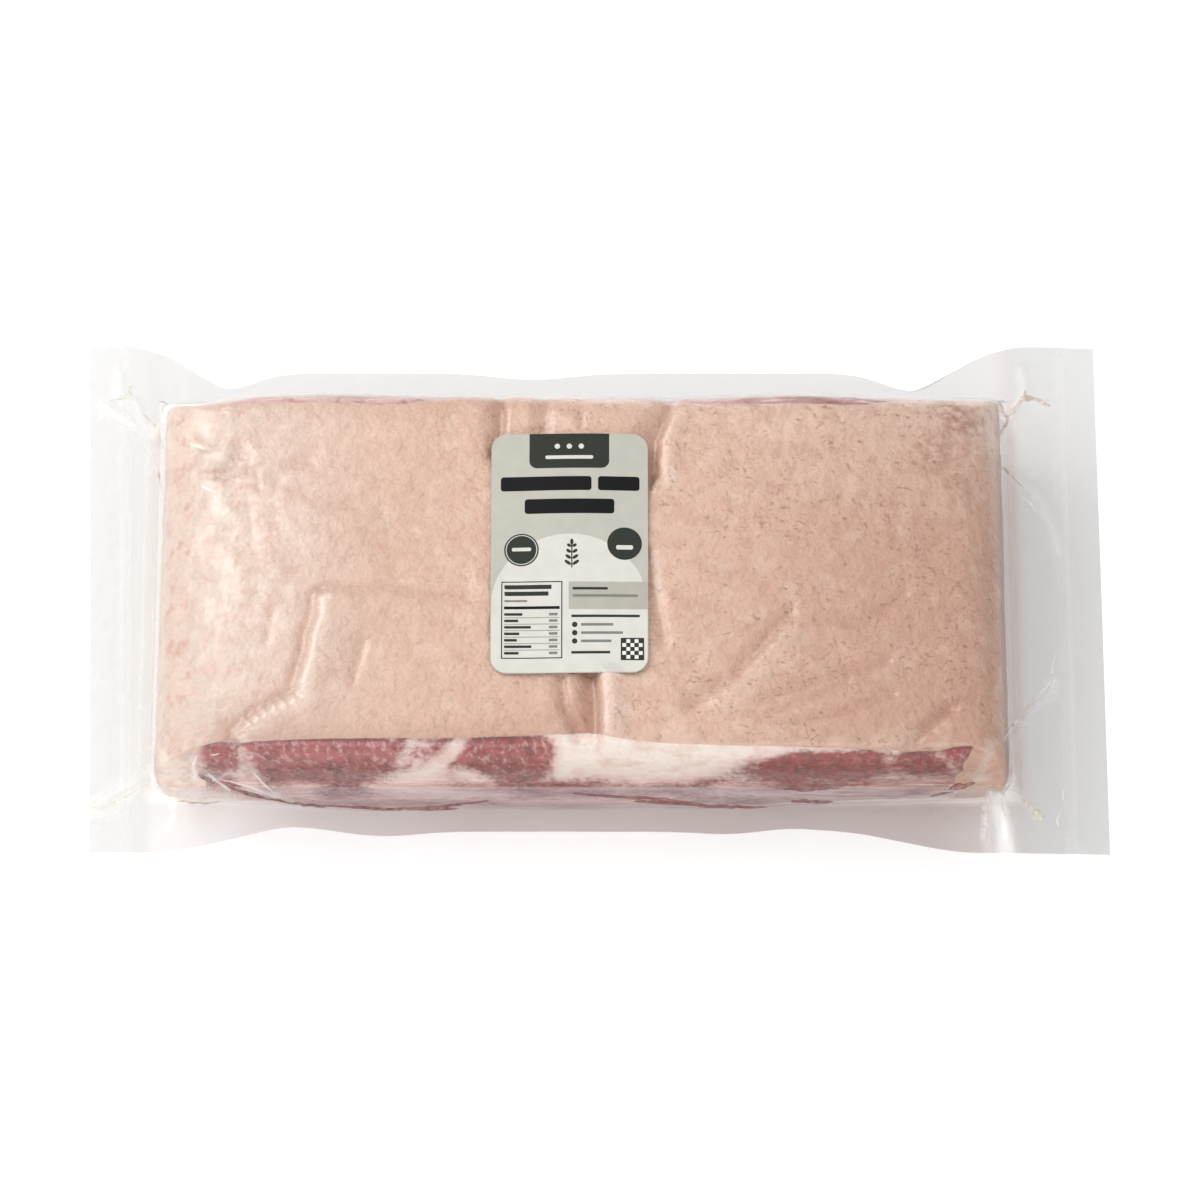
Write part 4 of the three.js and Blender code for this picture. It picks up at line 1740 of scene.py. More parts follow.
        upper = self.form.upper(box, heights)
        lower = self.form.lower(box, self.clearance)
        middle = self.form.ring(box, ROLL_UP, 0.0, heights)
        rings = [*reversed(lower), middle, *upper]
        rows = [skin.row(ring) for ring in rings]
        for below, above in zip(rows[:-1], rows[1:], strict=True):
            skin.band(below, above)
        self.form.grid.fill(skin, rows[-1], rings[-1], heights)
        skin.caps.append(rows[0][::-1].tolist())
        slab = skin.object("pork_slab")
        points = skin.coordinates()
        towards_left = smooth(-points[:, 0] / self.slant_length - self.slant_from)
        slab_width = SLAB_BOX.back - SLAB_BOX.front
        points[:, 0] += self.left_slant * towards_left * (points[:, 1] - SLAB_BOX.front) / slab_width
        x, y, z = points.T
        rind, lean = self.rind_depth(x, y, z), self.lean_depth(x, y, z)
        move_points(slab, points - normals(slab) * self.sunk(x, y, z, rind, lean)[:, None])
        relief, up = self.form.relief, self.relief_up.at(z)
        store(
            slab,
            rind=rind,
            lean=lean,
            low=self.low(x, y, z),
            down=np.where(y < 0.0, self.form.down_front(y, z), self.form.down_back(y, z)),
            crease=relief.shade(x, y) * up,
            glint=relief.glint(x, y) * up,
            stain=self.patchy(x, y, z, self.stains),
            tone=self.patchy(x, y, z, self.tones),
        )
        dress(slab, self.finish.material())
        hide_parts("sealed_pouch")
        return slab


# ---------------------------------------------------------------- the vacuum pouch


@dataclass(frozen=True)
class LongEdge:
    """One long edge of the pouch: drawn in beside the slab between two shoulders, with small waists."""

    inset: float
    shoulder_left: float
    shoulder_right: float
    shoulder_half: float
    waists: tuple[Triple, ...]

    def width(self, x: Array, half_width: float) -> Array:
        """The edge's distance from the middle line at x.

        Args:
            x: The points' X.
            half_width: The half width without the shoulders.

        Returns:
            The distances.
        """
        span = 2.0 * self.shoulder_half
        rising = smooth((x - self.shoulder_left) / span + 0.5)
        falling = smooth((self.shoulder_right - x) / span + 0.5)
        waist = sum(depth * bell((x - at) / wide) for at, depth, wide in self.waists)
        return half_width - self.inset * rising * falling - waist


@dataclass
class VacuumPouch:
    """The film: tight on the slab, and standing out all round as a flange of two films."""

    form: PackForm
    finish: ClearFilm = ClearFilm()
    left_back: float = -171.0
    left_front: float = -165.2
    right: float = 171.0
    half_width: float = 93.6
    back_edge: LongEdge = LongEdge(
        10.4, -140.0, 129.0, 21.0, ((-124, 6.2, 13), (109, 6.6, 14), (-20, 2.4, 17))
    )
    front_edge: LongEdge = LongEdge(
        7.6, -123.0, 103.0, 25.0, ((-98, 1.6, 14), (-68, -1.6, 15), (44, -0.9, 12), (66, 1.0, 12))
    )
    thickness: float = 0.3
    stations: tuple[float, ...] = tuple(np.linspace(1.0, 0.0, 25)[:-1] ** 1.25)
    tent_foot: Point = (1.2, 3.6)
    tent_slope: Point = (2.5, 2.1)
    tent_softness: float = 1.3
    tent_below: float = 0.6
    tent_corner: float = 6.0
    tent_most: float = 60.0
    tent_over_slab: float = 0.8
    droop: float = 1.6
    wave_height: float = 0.5
    wave_growth: float = 3.0
    wave_lengths: Point = (132.0, 207.0)
    wave_phases: Point = (0.6, 1.1)
    seal_width: float = 11.0
    seal_edge: float = 1.5
    seal_lines: tuple[float, ...] = (11.2, 13.4)
    seal_line_height: float = 0.25
    seal_line_width: float = 0.6
    sealed_thickness: float = 0.06
    flange_haze: float = 0.05
    slope_haze: float = 0.3
    right_share: float = 0.35
    seal_haze: float = 0.03
    # Painted highlights on the seal lines, pleats and folds.
    line_haze: float = 0.12
    pleat_haze: float = 0.14
    back_haze: float = 0.2
    fold_haze: float = 0.4
    line_haze_width: float = 0.7
    most_haze: float = 0.85
    free: Ramp = Ramp(0.0, 3.0)
    slope_across: Ramp = Ramp(66.0, 58.0)
    slope_starts: Ramp = Ramp(-7.0, -1.0)
    slope_ends: Ramp = Ramp(3.0, 6.5)
    back_haze_across: Ramp = Ramp(60.0, 66.0)
    # White strokes of painted highlight where the flange's pleats catch the light.
    milky: tuple[Stroke, ...] = (
        Stroke(((134.4, -78), (135.6, -86), (136.2, -96)), 2.8, 0.85),
        Stroke(((131.8, -72.5), (130.2, -78)), 0.7, 0.6),
        Stroke(((134.6, -72.8), (137.2, -79)), 0.7, 0.6),
        Stroke(((-166, 68.6), (-156, 64.5)), 1.6, 0.25),
        Stroke(((-162, -80.5), (-157, -79)), 1.6, 0.3),
    )
    # Painted shadow seen through the free film: the slab's shadow on the floor under the flange, deepest at
    # the front and the right.
    smoke_front: tuple[Point, ...] = (
        (-150.0, 0.32),
        (-120.0, 0.24),
        (-104.0, 0.46),
        (-92.0, 0.64),
        (-40.0, 0.85),
        (50.0, 0.93),
        (112.0, 0.9),
        (136.0, 0.66),
    )
    smoke_left: float = 0.36
    smoke_right: float = 0.54
    smoke_back: float = 0.34
    smoke_outer: Ramp = Ramp(-70.0, -88.0)
    smoke_outer_share: float = 0.8
    smoke_inner: Ramp = Ramp(-74.0, -77.5)
    smoke_inner_share: float = 0.3
    smoke_end_width: float = 6.0
    smoke_end_lead: float = 0.4
    smoke_back_right: Ramp = Ramp(30.0, 80.0)
    smoke_back_right_share: float = 0.45
    smoke_free: Ramp = Ramp(0.0, 2.0)
    # Painted shade on the film where it lies on the slab, strongest at the right end and low on the front at
    # the right.
    tight_left: Ramp = Ramp(-141.5, -144.5, 0.16)
    tight_right: Ramp = Ramp(135.5, 138.5, 0.55)
    tight_back: Ramp = Ramp(65.0, 68.0, 0.14)
    tight_front: Ramp = Ramp(-65.0, -68.0, 0.35)
    tight_front_down: Ramp = Ramp(22.0, 16.0)
    tight_front_along: Ramp = Ramp(40.0, 70.0)
    warm_beside: Ramp = Ramp(0.0, -6.0)
    warm_left: Ramp = Ramp(8.0, 0.0, 0.45)
    warm_right: Ramp = Ramp(9.0, 2.0, 0.8)
    warm_behind: Ramp = Ramp(73.0, 69.0, 0.8)
    warm_end: float = -4.0
    left_sheen: float = 0.25
    left_sheen_along: Ramp = Ramp(-141.5, -147.5)
    embossed_past: Ramp = Ramp(145.0, 150.0)
    pleats: tuple[Stroke, ...] = (
        Stroke(((-146, 57), (-151.4, 64.5), (-154.7, 72.5), (-160.2, 75), (-160.4, 83)), 1.5, 1.1),
        Stroke(((-147, 56.0), (-156, 63.5), (-164.5, 69.8)), 2.6, 1.3, 1.4),
        Stroke(((-146.6, 48), (-149.8, 44.2)), 1.0, 0.6),
        Stroke(((-143, -63.5), (-151, -68.5), (-165, -77.5)), 1.7, 1.5),
        Stroke(((-141, -67.5), (-152.5, -75.2), (-164.3, -79)), 2.6, 1.2),
        Stroke(((-145, -46), (-166, -29)), 1.4, 0.5),
        Stroke(((-137.0, -72), (-137, -82)), 1.0, 0.6),
        Stroke(((-133, -70.5), (-112, -75.5), (-92, -77.5)), 1.2, 0.7),
        Stroke(((131, 71.7), (136.3, 72.1), (141.2, 65.5), (137.3, 57.7)), 1.3, 1.3),
        Stroke(((141.5, 66.5), (146.2, 73), (147.6, 76.5), (146.8, 85)), 1.3, 1.2),
        Stroke(((148, 74), (152.3, 73), (155.6, 71)), 1.0, 0.8),
        Stroke(((139.5, 48.5), (147.3, 41), (152.2, 34.8), (156, 24.3), (157.6, 16)), 1.5, 0.9),
        Stroke(((141.5, -49), (148.5, -40.8), (153.6, -36.4), (155, -31)), 1.5, 1.5),
        Stroke(((139, -49), (135, -62)), 1.6, 1.0),
        Stroke(((138, -70.5), (145, -77), (148.6, -81)), 1.3, 1.0),
        Stroke(((132.6, -72), (131.4, -80), (130.4, -94)), 1.5, 1.4),
        Stroke(((135, -73), (137.6, -82), (138.6, -94)), 1.5, 1.4),
    )
    both_films: float = 0.55
    front_folds: tuple[Stroke, ...] = (
        Stroke(((-131.0, 5.5), (-130.6, 14.5)), 1.0, 1.2),
        Stroke(((-126.5, 10.5), (-119.3, 18.0)), 0.8, 1.0),
        Stroke(((-122.0, 13.5), (-113.3, 15.9), (-105.6, 18.6), (-99.0, 20.5)), 0.8, 1.2),
        Stroke(((-111.2, 10.9), (-104.0, 18.0)), 0.8, 0.7),
        Stroke(((-119.4, 17.0), (-108.2, 20.2), (-97.4, 22.2)), 0.9, -0.8),
        Stroke(((131.5, 1.0), (129.0, 9.0), (125.5, 16.0)), 1.8, 0.45),
        Stroke(((131.0, 12.0), (116.0, 19.0), (98.0, 20.5)), 1.1, 0.45),
        Stroke(((-66.0, 15.5), (-46.0, 17.5), (-30.0, 18.5)), 1.0, 0.6),
        Stroke(((30.0, 16.0), (52.0, 17.5), (80.0, 17.0)), 1.0, 0.5),
    )
    folds_front: float = -55.0
    pleats_fade: Ramp = Ramp(0.8, 1.0)
    crinkle: Lumps = Lumps(9.0, 21)
    crinkle_height: float = 0.14
    crinkle_away: Ramp = Ramp(0.0, 6.0)
    crinkle_left: float = -146.0
    crinkle_left_share: float = 0.5

    def end_at(self, sy: Array) -> Array:
        """X of the pouch's left end, which is cut a little out of square."""
        return mix(self.left_front, self.left_back, (sy + 1.0) / 2.0)

    def outline(self) -> tuple[Array, Array]:
        """X and Y of the pouch's edge.

        Returns:
            The edge's X and its Y.
        """
        sx, sy = self.form.grid.square()
        x = mix(self.end_at(sy), self.right, (sx + 1.0) / 2.0)
        on_long_side = np.abs(sy) >= 1.0
        back = self.back_edge.width(x, self.half_width)
        front = -self.front_edge.width(x, self.half_width)
        return x, np.where(on_long_side, np.where(sy > 0.0, back, front), sy * self.half_width)

    def from_end(self, x: Array, y: Array) -> Array:
        """Distance from the nearer sealed end."""
        return np.minimum(x - self.end_at(y / self.half_width), self.right - x)

    def middle(self, x: Array, y: Array) -> Array:
        """Height between the two films: a slow wave, and hanging towards the free ends.

        Args:
            x: The points' X.
            y: The points' Y.

        Returns:
            The heights.
        """
        past = np.maximum(0.0, past_ends(x)) / (self.right - SLAB_BOX.right)
        turn = 2.0 * math.pi
        wave_x = np.sin(turn * x / self.wave_lengths[0] + self.wave_phases[0])
        wave_y = np.sin(turn * y / self.wave_lengths[1] + self.wave_phases[1])
        wave = self.wave_height * wave_x * wave_y * np.clip(self.wave_growth * past, 0.0, 1.0)
        return MID_HEIGHT - self.droop * past**2 + wave

    def tent(self, x: Array, y: Array, up: float) -> Array:
        """Height of the slope by which a film leaves the slab's side, long at the ends and short beside.

        Args:
            x: The points' X.
            y: The points' Y.
            up: 1 for the upper film and -1 for the lower.

        Returns:
            The height, away from the middle between the films.
        """
        past_end = past_ends(x)
        past_side = np.maximum(SLAB_BOX.front - y, y - SLAB_BOX.back)
        at_end = smooth((past_end - past_side) / self.tent_corner + 0.5)
        foot, slope = mix(*self.tent_foot, at_end), mix(*self.tent_slope, at_end)
        height = slope * (foot - np.maximum(past_end, past_side)) / self.tent_softness
        full = self.tent_softness * np.logaddexp(0.0, np.minimum(height, self.tent_most))
        return full * (1.0 if up > 0.0 else self.tent_below)

    def pleated(self, x: Array, y: Array) -> Array:
        """Height of the flange's pleats."""
        return sum(stroke.relief(x, y) for stroke in self.pleats)

    def flange_ring(self, share: float, up: float) -> tuple[Array, Array]:
        """One ring of the flange.

        Args:
            share: The way from the slab, 0, to the pouch's edge, 1.
            up: 1 for the upper film and -1 for the lower.

        Returns:
            The ring's points, and their distance from the slab.
        """
        inner_x, inner_y, _ = self.form.grid.on_box(SLAB_BOX)
        outer_x, outer_y = self.outline()
        x, y = mix(inner_x, outer_x, share), mix(inner_y, outer_y, share)
        away = np.hypot(x - inner_x, y - inner_y)
        pleat = self.pleated(x, y) * (1.0 - self.pleats_fade.at(share))
        crinkle = self.crinkle_height * self.crinkle.at(x, y) * self.crinkle_away.at(away)
        crinkle = crinkle * np.where(x < self.crinkle_left, self.crinkle_left_share, 1.0)
        end = self.from_end(x, y)
        unsealed = smooth((end - self.seal_width) / self.seal_edge)
        line = sum(self.seal_line_height * bell((end - at) / self.seal_line_width) for at in self.seal_lines)
        gap = mix(self.sealed_thickness, self.thickness, unsealed) / 2.0
        lift = pleat * (1.0 if up > 0.0 else self.both_films)
        z = self.middle(x, y) + crinkle + line + lift + up * (gap + self.tent(x, y, up))
        return np.stack([x, y, z], axis=1), away

    def between(self, x: Array, y: Array) -> Array:
        """Height of the gap between the two films of the flange."""
        crinkle = self.crinkle_height * self.crinkle.at(x, y)
        return self.middle(x, y) + crinkle + (1.0 + self.both_films) / 2.0 * self.pleated(x, y)

    def haze(self, x: Array, y: Array, distance: Array, folds: Array) -> Array:
        """How milky the film is: clear on the slab, milky round its ends and at seals, with painted
        highlights on seal lines, pleats and folds.

        Args:
            x: The points' X.
            y: The points' Y.
            distance: How far from the slab they lie, 0 where the film lies on it.
            folds: Height of the small folds there.

        Returns:
            The share of milkiness and painted highlight.
        """
        end, past_end = self.from_end(x, y), past_ends(x)
        inside = self.slope_across.at(np.abs(y)) * np.where(x > 0.0, self.right_share, 1.0)
        round_end = self.slope_starts.at(past_end) * (1.0 - self.slope_ends.at(past_end)) * inside
        at_back = self.back_haze_across.at(y) * (distance == 0.0)
        sealed = 1.0 - smooth(end - self.seal_width)
        line = sum(bell((end - at) / self.line_haze_width) for at in self.seal_lines)
        pleat = sum(np.abs(stroke.relief(x, y)) for stroke in self.pleats)
        # White strokes of painted highlight.
        white = sum(stroke.relief(x, y) for stroke in self.milky)
        loose = self.flange_haze + self.seal_haze * sealed + self.line_haze * line
        loose = (loose + self.pleat_haze * pleat + white) * self.free.at(distance)
        tight = self.back_haze * at_back + self.fold_haze * np.maximum(folds, 0.0)
        return np.clip(loose + tight + self.slope_haze * round_end, 0.0, self.most_haze)

    def smoke(self, x: Array, y: Array, z: Array, distance: Array) -> Array:
        """How much painted shadow darkens what is seen through the film, from 0 to 1: most where it stands
        free.

        Args:
            x: The points' X.
            y: The points' Y.
            z: The points' Z.
            distance: How far from the slab they lie, 0 where the film lies on it.

        Returns:
            The share of painted shadow.
        """
        front = read_line(x, self.smoke_front) * mix(1.0, self.smoke_outer_share, self.smoke_outer.at(y))
        front = front * mix(self.smoke_inner_share, 1.0, self.smoke_inner.at(y))
        side = np.where(y < 0.0, front, self.smoke_back)
        left = smooth((SLAB_BOX.left - x) / self.smoke_end_width + self.smoke_end_lead)
        right = smooth((x - SLAB_BOX.right) / self.smoke_end_width + self.smoke_end_lead)
        right = right * mix(1.0, self.smoke_back_right_share, self.smoke_back_right.at(y))
        dim = mix(mix(side, self.smoke_left, left), self.smoke_right, right)
        low = self.tight_front.at(y) * self.tight_front_down.at(z) * self.tight_front_along.at(x)
        ends = np.maximum(self.tight_left.at(x), self.tight_right.at(x))
        tight = np.maximum(np.maximum(ends, self.tight_back.at(y)), low)
        return mix(tight, dim, self.smoke_free.at(distance))

    def warm(self, x: Array, y: Array) -> Array:
        """How pinkish the painted shadow is, from light off the slab: along its sides and close to the ends.

        Args:
            x: The points' X.
            y: The points' Y.

        Returns:
            The share of pink.
        """
        past_end = past_ends(x)
        beside = self.warm_beside.at(past_end) * (y < 0.0)
        close = np.where(x < 0.0, self.warm_left.at(past_end), self.warm_right.at(past_end))
        behind = self.warm_behind.at(y) * (y > 0.0)
        return np.maximum(beside, np.where(past_end > self.warm_end, close, behind))

    def rolled(self, up: float) -> list[Array]:
        """The rings of one film over the slab, from the flange to the flat middle.

        Args:
            up: 1 for the upper film and -1 for the lower.

        Returns:
            The rings.
        """
        top = self.form.relief.height
        rings = self.form.upper(SLAB_BOX, top) if up > 0.0 else self.form.lower(SLAB_BOX, 0.0)
        for ring in rings:
            over = (ring[:, 2] - MID_HEIGHT) * up
            tent = np.minimum(self.tent(ring[:, 0], ring[:, 1], up), self.tent_over_slab * abs(over).max())
            ring[:, 2] = MID_HEIGHT + up * np.maximum(over, tent)
        return rings

    def build(self) -> bpy.types.Object:
        """Makes the film as one closed skin that meets at the flange's edge.

        Returns:
            The piece.
        """
        skin = Skin()
        away: list[Array] = []
        films: list[list[Array]] = []
        for up in (1.0, -1.0):
            rows = []
            for share in self.stations:
                ring, distance = self.flange_ring(share, up)
                rows.append(skin.row(ring))
                away.append(distance)
            for ring in self.rolled(up):
                rows.append(skin.row(ring))
                away.append(np.zeros(len(ring)))
            films.append(rows)
        upper, lower = films
        for outer, inner in zip(upper[:-1], upper[1:], strict=True):
            skin.band(outer, inner)
        for outer, inner in zip(lower[:-1], lower[1:], strict=True):
            skin.band(inner, outer)
        skin.band(lower[0], upper[0])
        before = skin.count
        self.form.grid.fill(skin, upper[-1], self.rolled(1.0)[-1], self.form.relief.height)
        away.append(np.zeros(skin.count - before))
        skin.caps.append(lower[-1][::-1].tolist())
        film = skin.object("vacuum_film", (upper[0], lower[0]))
        x, y, z = skin.coordinates().T
        distance = np.concatenate(away)
        down = self.form.down_front(y, z)
        folds = sum(fold.relief(x, down) for fold in self.front_folds)
        folds = folds * (distance == 0.0) * (y < self.folds_front)
        moved = skin.coordinates() + normals(film) * folds[:, None]
        moved[:, 2] = np.maximum(moved[:, 2], 0.0)
        move_points(film, moved)
        unsealed = smooth(self.from_end(x, y) - self.seal_width - 1.0)
        from_middle = np.abs(x - (SLAB_BOX.left + SLAB_BOX.right) / 2.0)
        store(
            film,
            haze=self.haze(x, y, distance, folds),
            dim=self.smoke(x, y, z, distance),
            warm=self.warm(x, y),
            sheen=mix(1.0, self.left_sheen, self.left_sheen_along.at(x)),
            embossed=unsealed * self.embossed_past.at(from_middle),
        )
        dress(film, self.finish.material())
        film.visible_shadow = False
        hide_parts("sealed_pouch")
        return film


@dataclass(frozen=True)
class Ribbons:
    """Thin closed ribbons, lens-shaped across, that taper at both ends and waver a little."""

    place: Callable[[Array, Array, Array], Array]
    spacing: float = 0.5
    fewest: int = 8
    waver: float = 0.4
    wobble: Lumps = Lumps(2.2, 31)
    wobble_layers: Point = (3.0, 9.0)
    wobble_width: float = 0.3
    tips: Point = (0.02, 0.98)
    columns: int = 5
    thinned: float = 0.9

    def add(self, skin: Skin, trace: Stroke) -> None:
        """Adds one ribbon along a stroke.

        Args:
            skin: Where the points and faces go.
            trace: The stroke, of which the width is the half width and the height the half thickness.
        """
        corners = np.array(trace.points)
        passed = np.append(0.0, np.cumsum(np.hypot(*np.diff(corners, axis=0).T)))
        along = np.linspace(0.0, passed[-1], max(self.fewest, int(passed[-1] / self.spacing)))
        a, b = (np.interp(along, passed, corners[:, axis]) for axis in (0, 1))
        off_a, off_b = (self.waver * self.wobble.at(a, b, layer) for layer in self.wobble_layers)
        a, b = a + off_a, b + off_b
        way_a, way_b = np.gradient(a), np.gradient(b)
        length = np.hypot(way_a, way_b)
        taper = np.sqrt(np.sin(math.pi * np.linspace(*self.tips, len(a))))
        half = trace.width * taper * (1.0 + self.wobble_width * self.wobble.at(a, b))
        across = np.linspace(-1.0, 1.0, self.columns)[None, :]
        side_a = a[:, None] - across * (half * way_b / length)[:, None]
        side_b = b[:, None] + across * (half * way_a / length)[:, None]
        thick = trace.height * taper[:, None] * (1.0 - self.thinned * across**2)
        over, under = (skin.row(self.place(side_a, side_b, way * thick)) for way in (1.0, -1.0))
        skin.sheet(over, up=False)
        skin.sheet(under)
        skin.band(
            *(np.concatenate([r[:-1, 0], r[-1, :-1], r[:0:-1, -1], r[0, :0:-1]]) for r in (over, under))
        )

    def pieces(self, drawn: dict[ThinTrace, tuple[Stroke, ...]]) -> list[bpy.types.Object]:
        """Makes a piece of each look's strokes, which casts no shadow, and hides the imported pouch.

        Args:
            drawn: The strokes that each look is for.

        Returns:
            The pieces.
        """
        made = []
        for look, strokes in drawn.items():
            skin = Skin()
            for stroke in strokes:
                self.add(skin, stroke)
            piece = skin.object(look.name)
            dress(piece, look.material())
            piece.visible_shadow = False
            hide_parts("sealed_pouch")
            made.append(piece)
        return made


@dataclass
class JuiceTraces:
    """Thin flat traces of juice that lie between the two films of the flange."""

    pouch: VacuumPouch
    brown_look: ThinTrace = ThinTrace("juice_brown", paint(216, 194, 172), paint(196, 168, 142), 0.42)
    yellow_look: ThinTrace = ThinTrace("juice_yellow", paint(224, 216, 182), paint(212, 203, 162), 0.28)
    brown: tuple[Stroke, ...] = (
        Stroke(((130.8, 71.7), (136.3, 72.1), (141.2, 65.5), (137.3, 57.7)), 0.6, 0.1),
        Stroke(((141.5, 66.5), (146.2, 73.0), (147.6, 77.0)), 0.8, 0.1),
        Stroke(((146.2, 73.6), (149.6, 74.4)), 1.2, 0.1),
        Stroke(((147.2, 74.4), (151.5, 73.4), (155.6, 71.0)), 0.7, 0.1),
        Stroke(((137.4, 49.0), (142.0, 44.4), (145.8, 40.2)), 0.35, 0.08),
        Stroke(((-136.8, -75.0), (-129.0, -75.8), (-122.0, -75.0)), 0.4, 0.08),
    )
    yellow: tuple[Stroke, ...] = (
        Stroke(((140.0, -73.0), (144.2, -76.4), (148.0, -80.0)), 0.6, 0.1),
        Stroke(((145.8, -81.6), (149.4, -78.6)), 2.1, 0.12),
        Stroke(((-164.1, 72.8), (-156.9, 74.2), (-156.9, 82.2)), 0.6, 0.08),
        Stroke(((-153.3, 68.9), (-148.6, 64.1), (-144.2, 54.1)), 0.5, 0.08),
        Stroke(((-167.7, -78.6), (-159.3, -77.1), (-147.2, -69.4)), 0.5, 0.08),
    )

    def between(self, x: Array, y: Array, rise: Array) -> Array:
        """Points that far above the middle of the gap between the films."""
        return np.stack([x, y, self.pouch.between(x, y) + rise], axis=-1)

    def build(self) -> list[bpy.types.Object]:
        """Makes one piece of the brown traces and one of the yellow."""
        return Ribbons(self.between).pieces({self.brown_look: self.brown, self.yellow_look: self.yellow})


@dataclass
class FilmFolds:
    """Painted highlights on the film's creases, painted shade beside them and red juice low down.

    They are drawn on a plane that faces the front at the slant of the front face, and laid on the film.
    """

    form: PackForm
    film: bpy.types.Object
    # Painted highlights on the folds, and painted shade beside them.
    bright_look: ThinTrace = ThinTrace("film_folds", paint(240, 232, 226), paint(222, 206, 198), 0.62)
    dark_look: ThinTrace = ThinTrace("film_shades", paint(140, 104, 96), paint(120, 84, 76), 0.5)
    red_look: ThinTrace = ThinTrace("juice_red", paint(146, 92, 92), paint(122, 66, 66), 0.5)
    waver: float = 0.25
    bright: tuple[Stroke, ...] = (
        Stroke(((-129.5, 4.6), (-131.0, 8.6), (-130.4, 14.6)), 0.55, 0.12),
        Stroke(((-126.4, 10.8), (-123.8, 13.6), (-119.6, 17.0), (-118.0, 20.0)), 0.42, 0.12),
        Stroke(((-121.4, 13.4), (-113.4, 15.6), (-107.6, 18.0), (-102.0, 19.8), (-95.4, 21.8)), 0.42, 0.12),
        Stroke(((-112.0, 10.0), (-109.6, 13.4), (-105.0, 18.0)), 0.35, 0.1),
        Stroke(((-125.4, 5.0), (-122.0, 4.2)), 0.22, 0.08),
        Stroke(((132.4, 18.8), (130.6, 22.0), (129.6, 28.6)), 0.5, 0.15),
        Stroke(((135.0, 19.0), (136.0, 22.4), (137.4, 26.4)), 0.5, 0.15),
        Stroke(((156.0, 16.4), (156.0, 20.4)), 0.25, 0.1),
        Stroke(((155.2, 23.4), (153.6, 26.4), (154.2, 29.0)), 0.3, 0.1),
        Stroke(((135.3, 0.7), (141.0, -6.0), (147.5, -13.0), (153.0, -18.7), (154.7, -28.0)), 0.35, 0.12),
        Stroke(((144.2, -81.2), (148.4, -78.2), (151.7, -73.0)), 0.3, 0.1),
        Stroke(((-150.4, -98.0), (-145.6, -88.0), (-144.0, -80.0)), 0.3, 0.1),
        Stroke(((-130.6, -84.0), (-124.6, -81.6)), 0.5, 0.1),
    )
    dark: tuple[Stroke, ...] = (
        Stroke(((-119.6, 15.8), (-114.6, 17.8), (-107.6, 19.4)), 0.7, 0.06),
        Stroke(((-129.6, 11.8), (-126.8, 13.2), (-124.6, 14.8)), 0.9, 0.06),
        Stroke(((-108.0, 19.6), (-96.4, 21.4), (-88.0, 22.4)), 0.4, 0.06),
    )
    red: tuple[Stroke, ...] = (
        Stroke(((-92.0, 21.6), (-79.0, 22.4), (-68.0, 23.2), (-52.0, 22.4), (-34.0, 20.4)), 0.5, 0.06),
        Stroke(((-58.0, 23.4), (-44.0, 22.8)), 0.5, 0.06),
        Stroke(
            ((-6.0, 18.0), (8.0, 19.0), (20.0, 19.6), (30.0, 21.0), (38.0, 22.2), (58.0, 22.4)), 0.6, 0.06
        ),
        Stroke(((14.0, 20.4), (30.0, 21.4)), 0.6, 0.06),
        Stroke(((58.0, 15.6), (70.0, 16.6), (82.0, 16.2)), 0.7, 0.06),
        Stroke(((66.0, 20.4), (80.0, 20.8)), 0.6, 0.06),
        Stroke(((112.0, 19.0), (116.0, 18.0), (120.0, 17.6)), 0.35, 0.06),
        Stroke(((118.4, 16.6), (122.0, 15.6), (126.8, 14.4)), 1.0, 0.06),
    )
    start: float = 200.0
    lift: float = 0.06

    def tree(self) -> BVHTree:
        """The film's surface in millimetres, ready for rays.

        Returns:
            The surface.
        """
        flat = np.zeros(len(self.film.data.vertices) * 3, np.float32)
        self.film.data.vertices.foreach_get("co", flat)
        points = (flat.reshape(-1, 3) / MM).tolist()
        return BVHTree.FromPolygons(points, [tuple(face.vertices) for face in self.film.data.polygons])

    def on_film(self, tree: BVHTree, along: Array, down: Array, rise: Array) -> Array:
        """Lays points of the drawing plane on the film.

        Args:
            tree: The film's surface.
            along: The points' X.
            down: How far down the front they lie.
            rise: How far above the film they go.

        Returns:
            The points.
        """
        turn = math.radians(self.form.slant)
        up = Vector((0.0, math.sin(turn), math.cos(turn)))
        inward = Vector((0.0, math.cos(turn), -math.sin(turn)))
        middle = Vector((0.0, self.form.front_middle, MID_HEIGHT))
        laid = np.empty(np.shape(along) + (3,))
        for index in np.ndindex(*np.shape(along)):
            origin = middle + Vector((along[index], 0.0, 0.0)) - up * (self.form.slant_start + down[index])
            place, normal, _, _ = tree.ray_cast(origin - inward * self.start, inward)
            laid[index] = place + normal * (self.lift + rise[index])
        return laid

    def build(self) -> list[bpy.types.Object]:
        """Makes a piece each of the bright folds, the dark ones and the red juice.

        Returns:
            The pieces.
        """
        tree = self.tree()
        ribbons = Ribbons(lambda along, down, rise: self.on_film(tree, along, down, rise), waver=self.waver)
        drawn = {self.bright_look: self.bright, self.dark_look: self.dark, self.red_look: self.red}
        return ribbons.pieces(drawn)


# ---------------------------------------------------------------- the label


class Ink(Enum):
    """The label's printed colours."""

    DARK = "dark"
    BLACK = "black"
    GREY = "grey"
    PALE = "pale"
    WHITE = "white"
    BEIGE = "beige"


INK_COLOURS: dict[Ink, Colour] = {
    Ink.DARK: paint(46, 49, 43),
    Ink.BLACK: paint(14, 15, 15),
    Ink.GREY: paint(120, 122, 116),
    Ink.PALE: paint(206, 204, 195),
    Ink.WHITE: paint(222, 222, 216),
    Ink.BEIGE: paint(173, 168, 157),
}


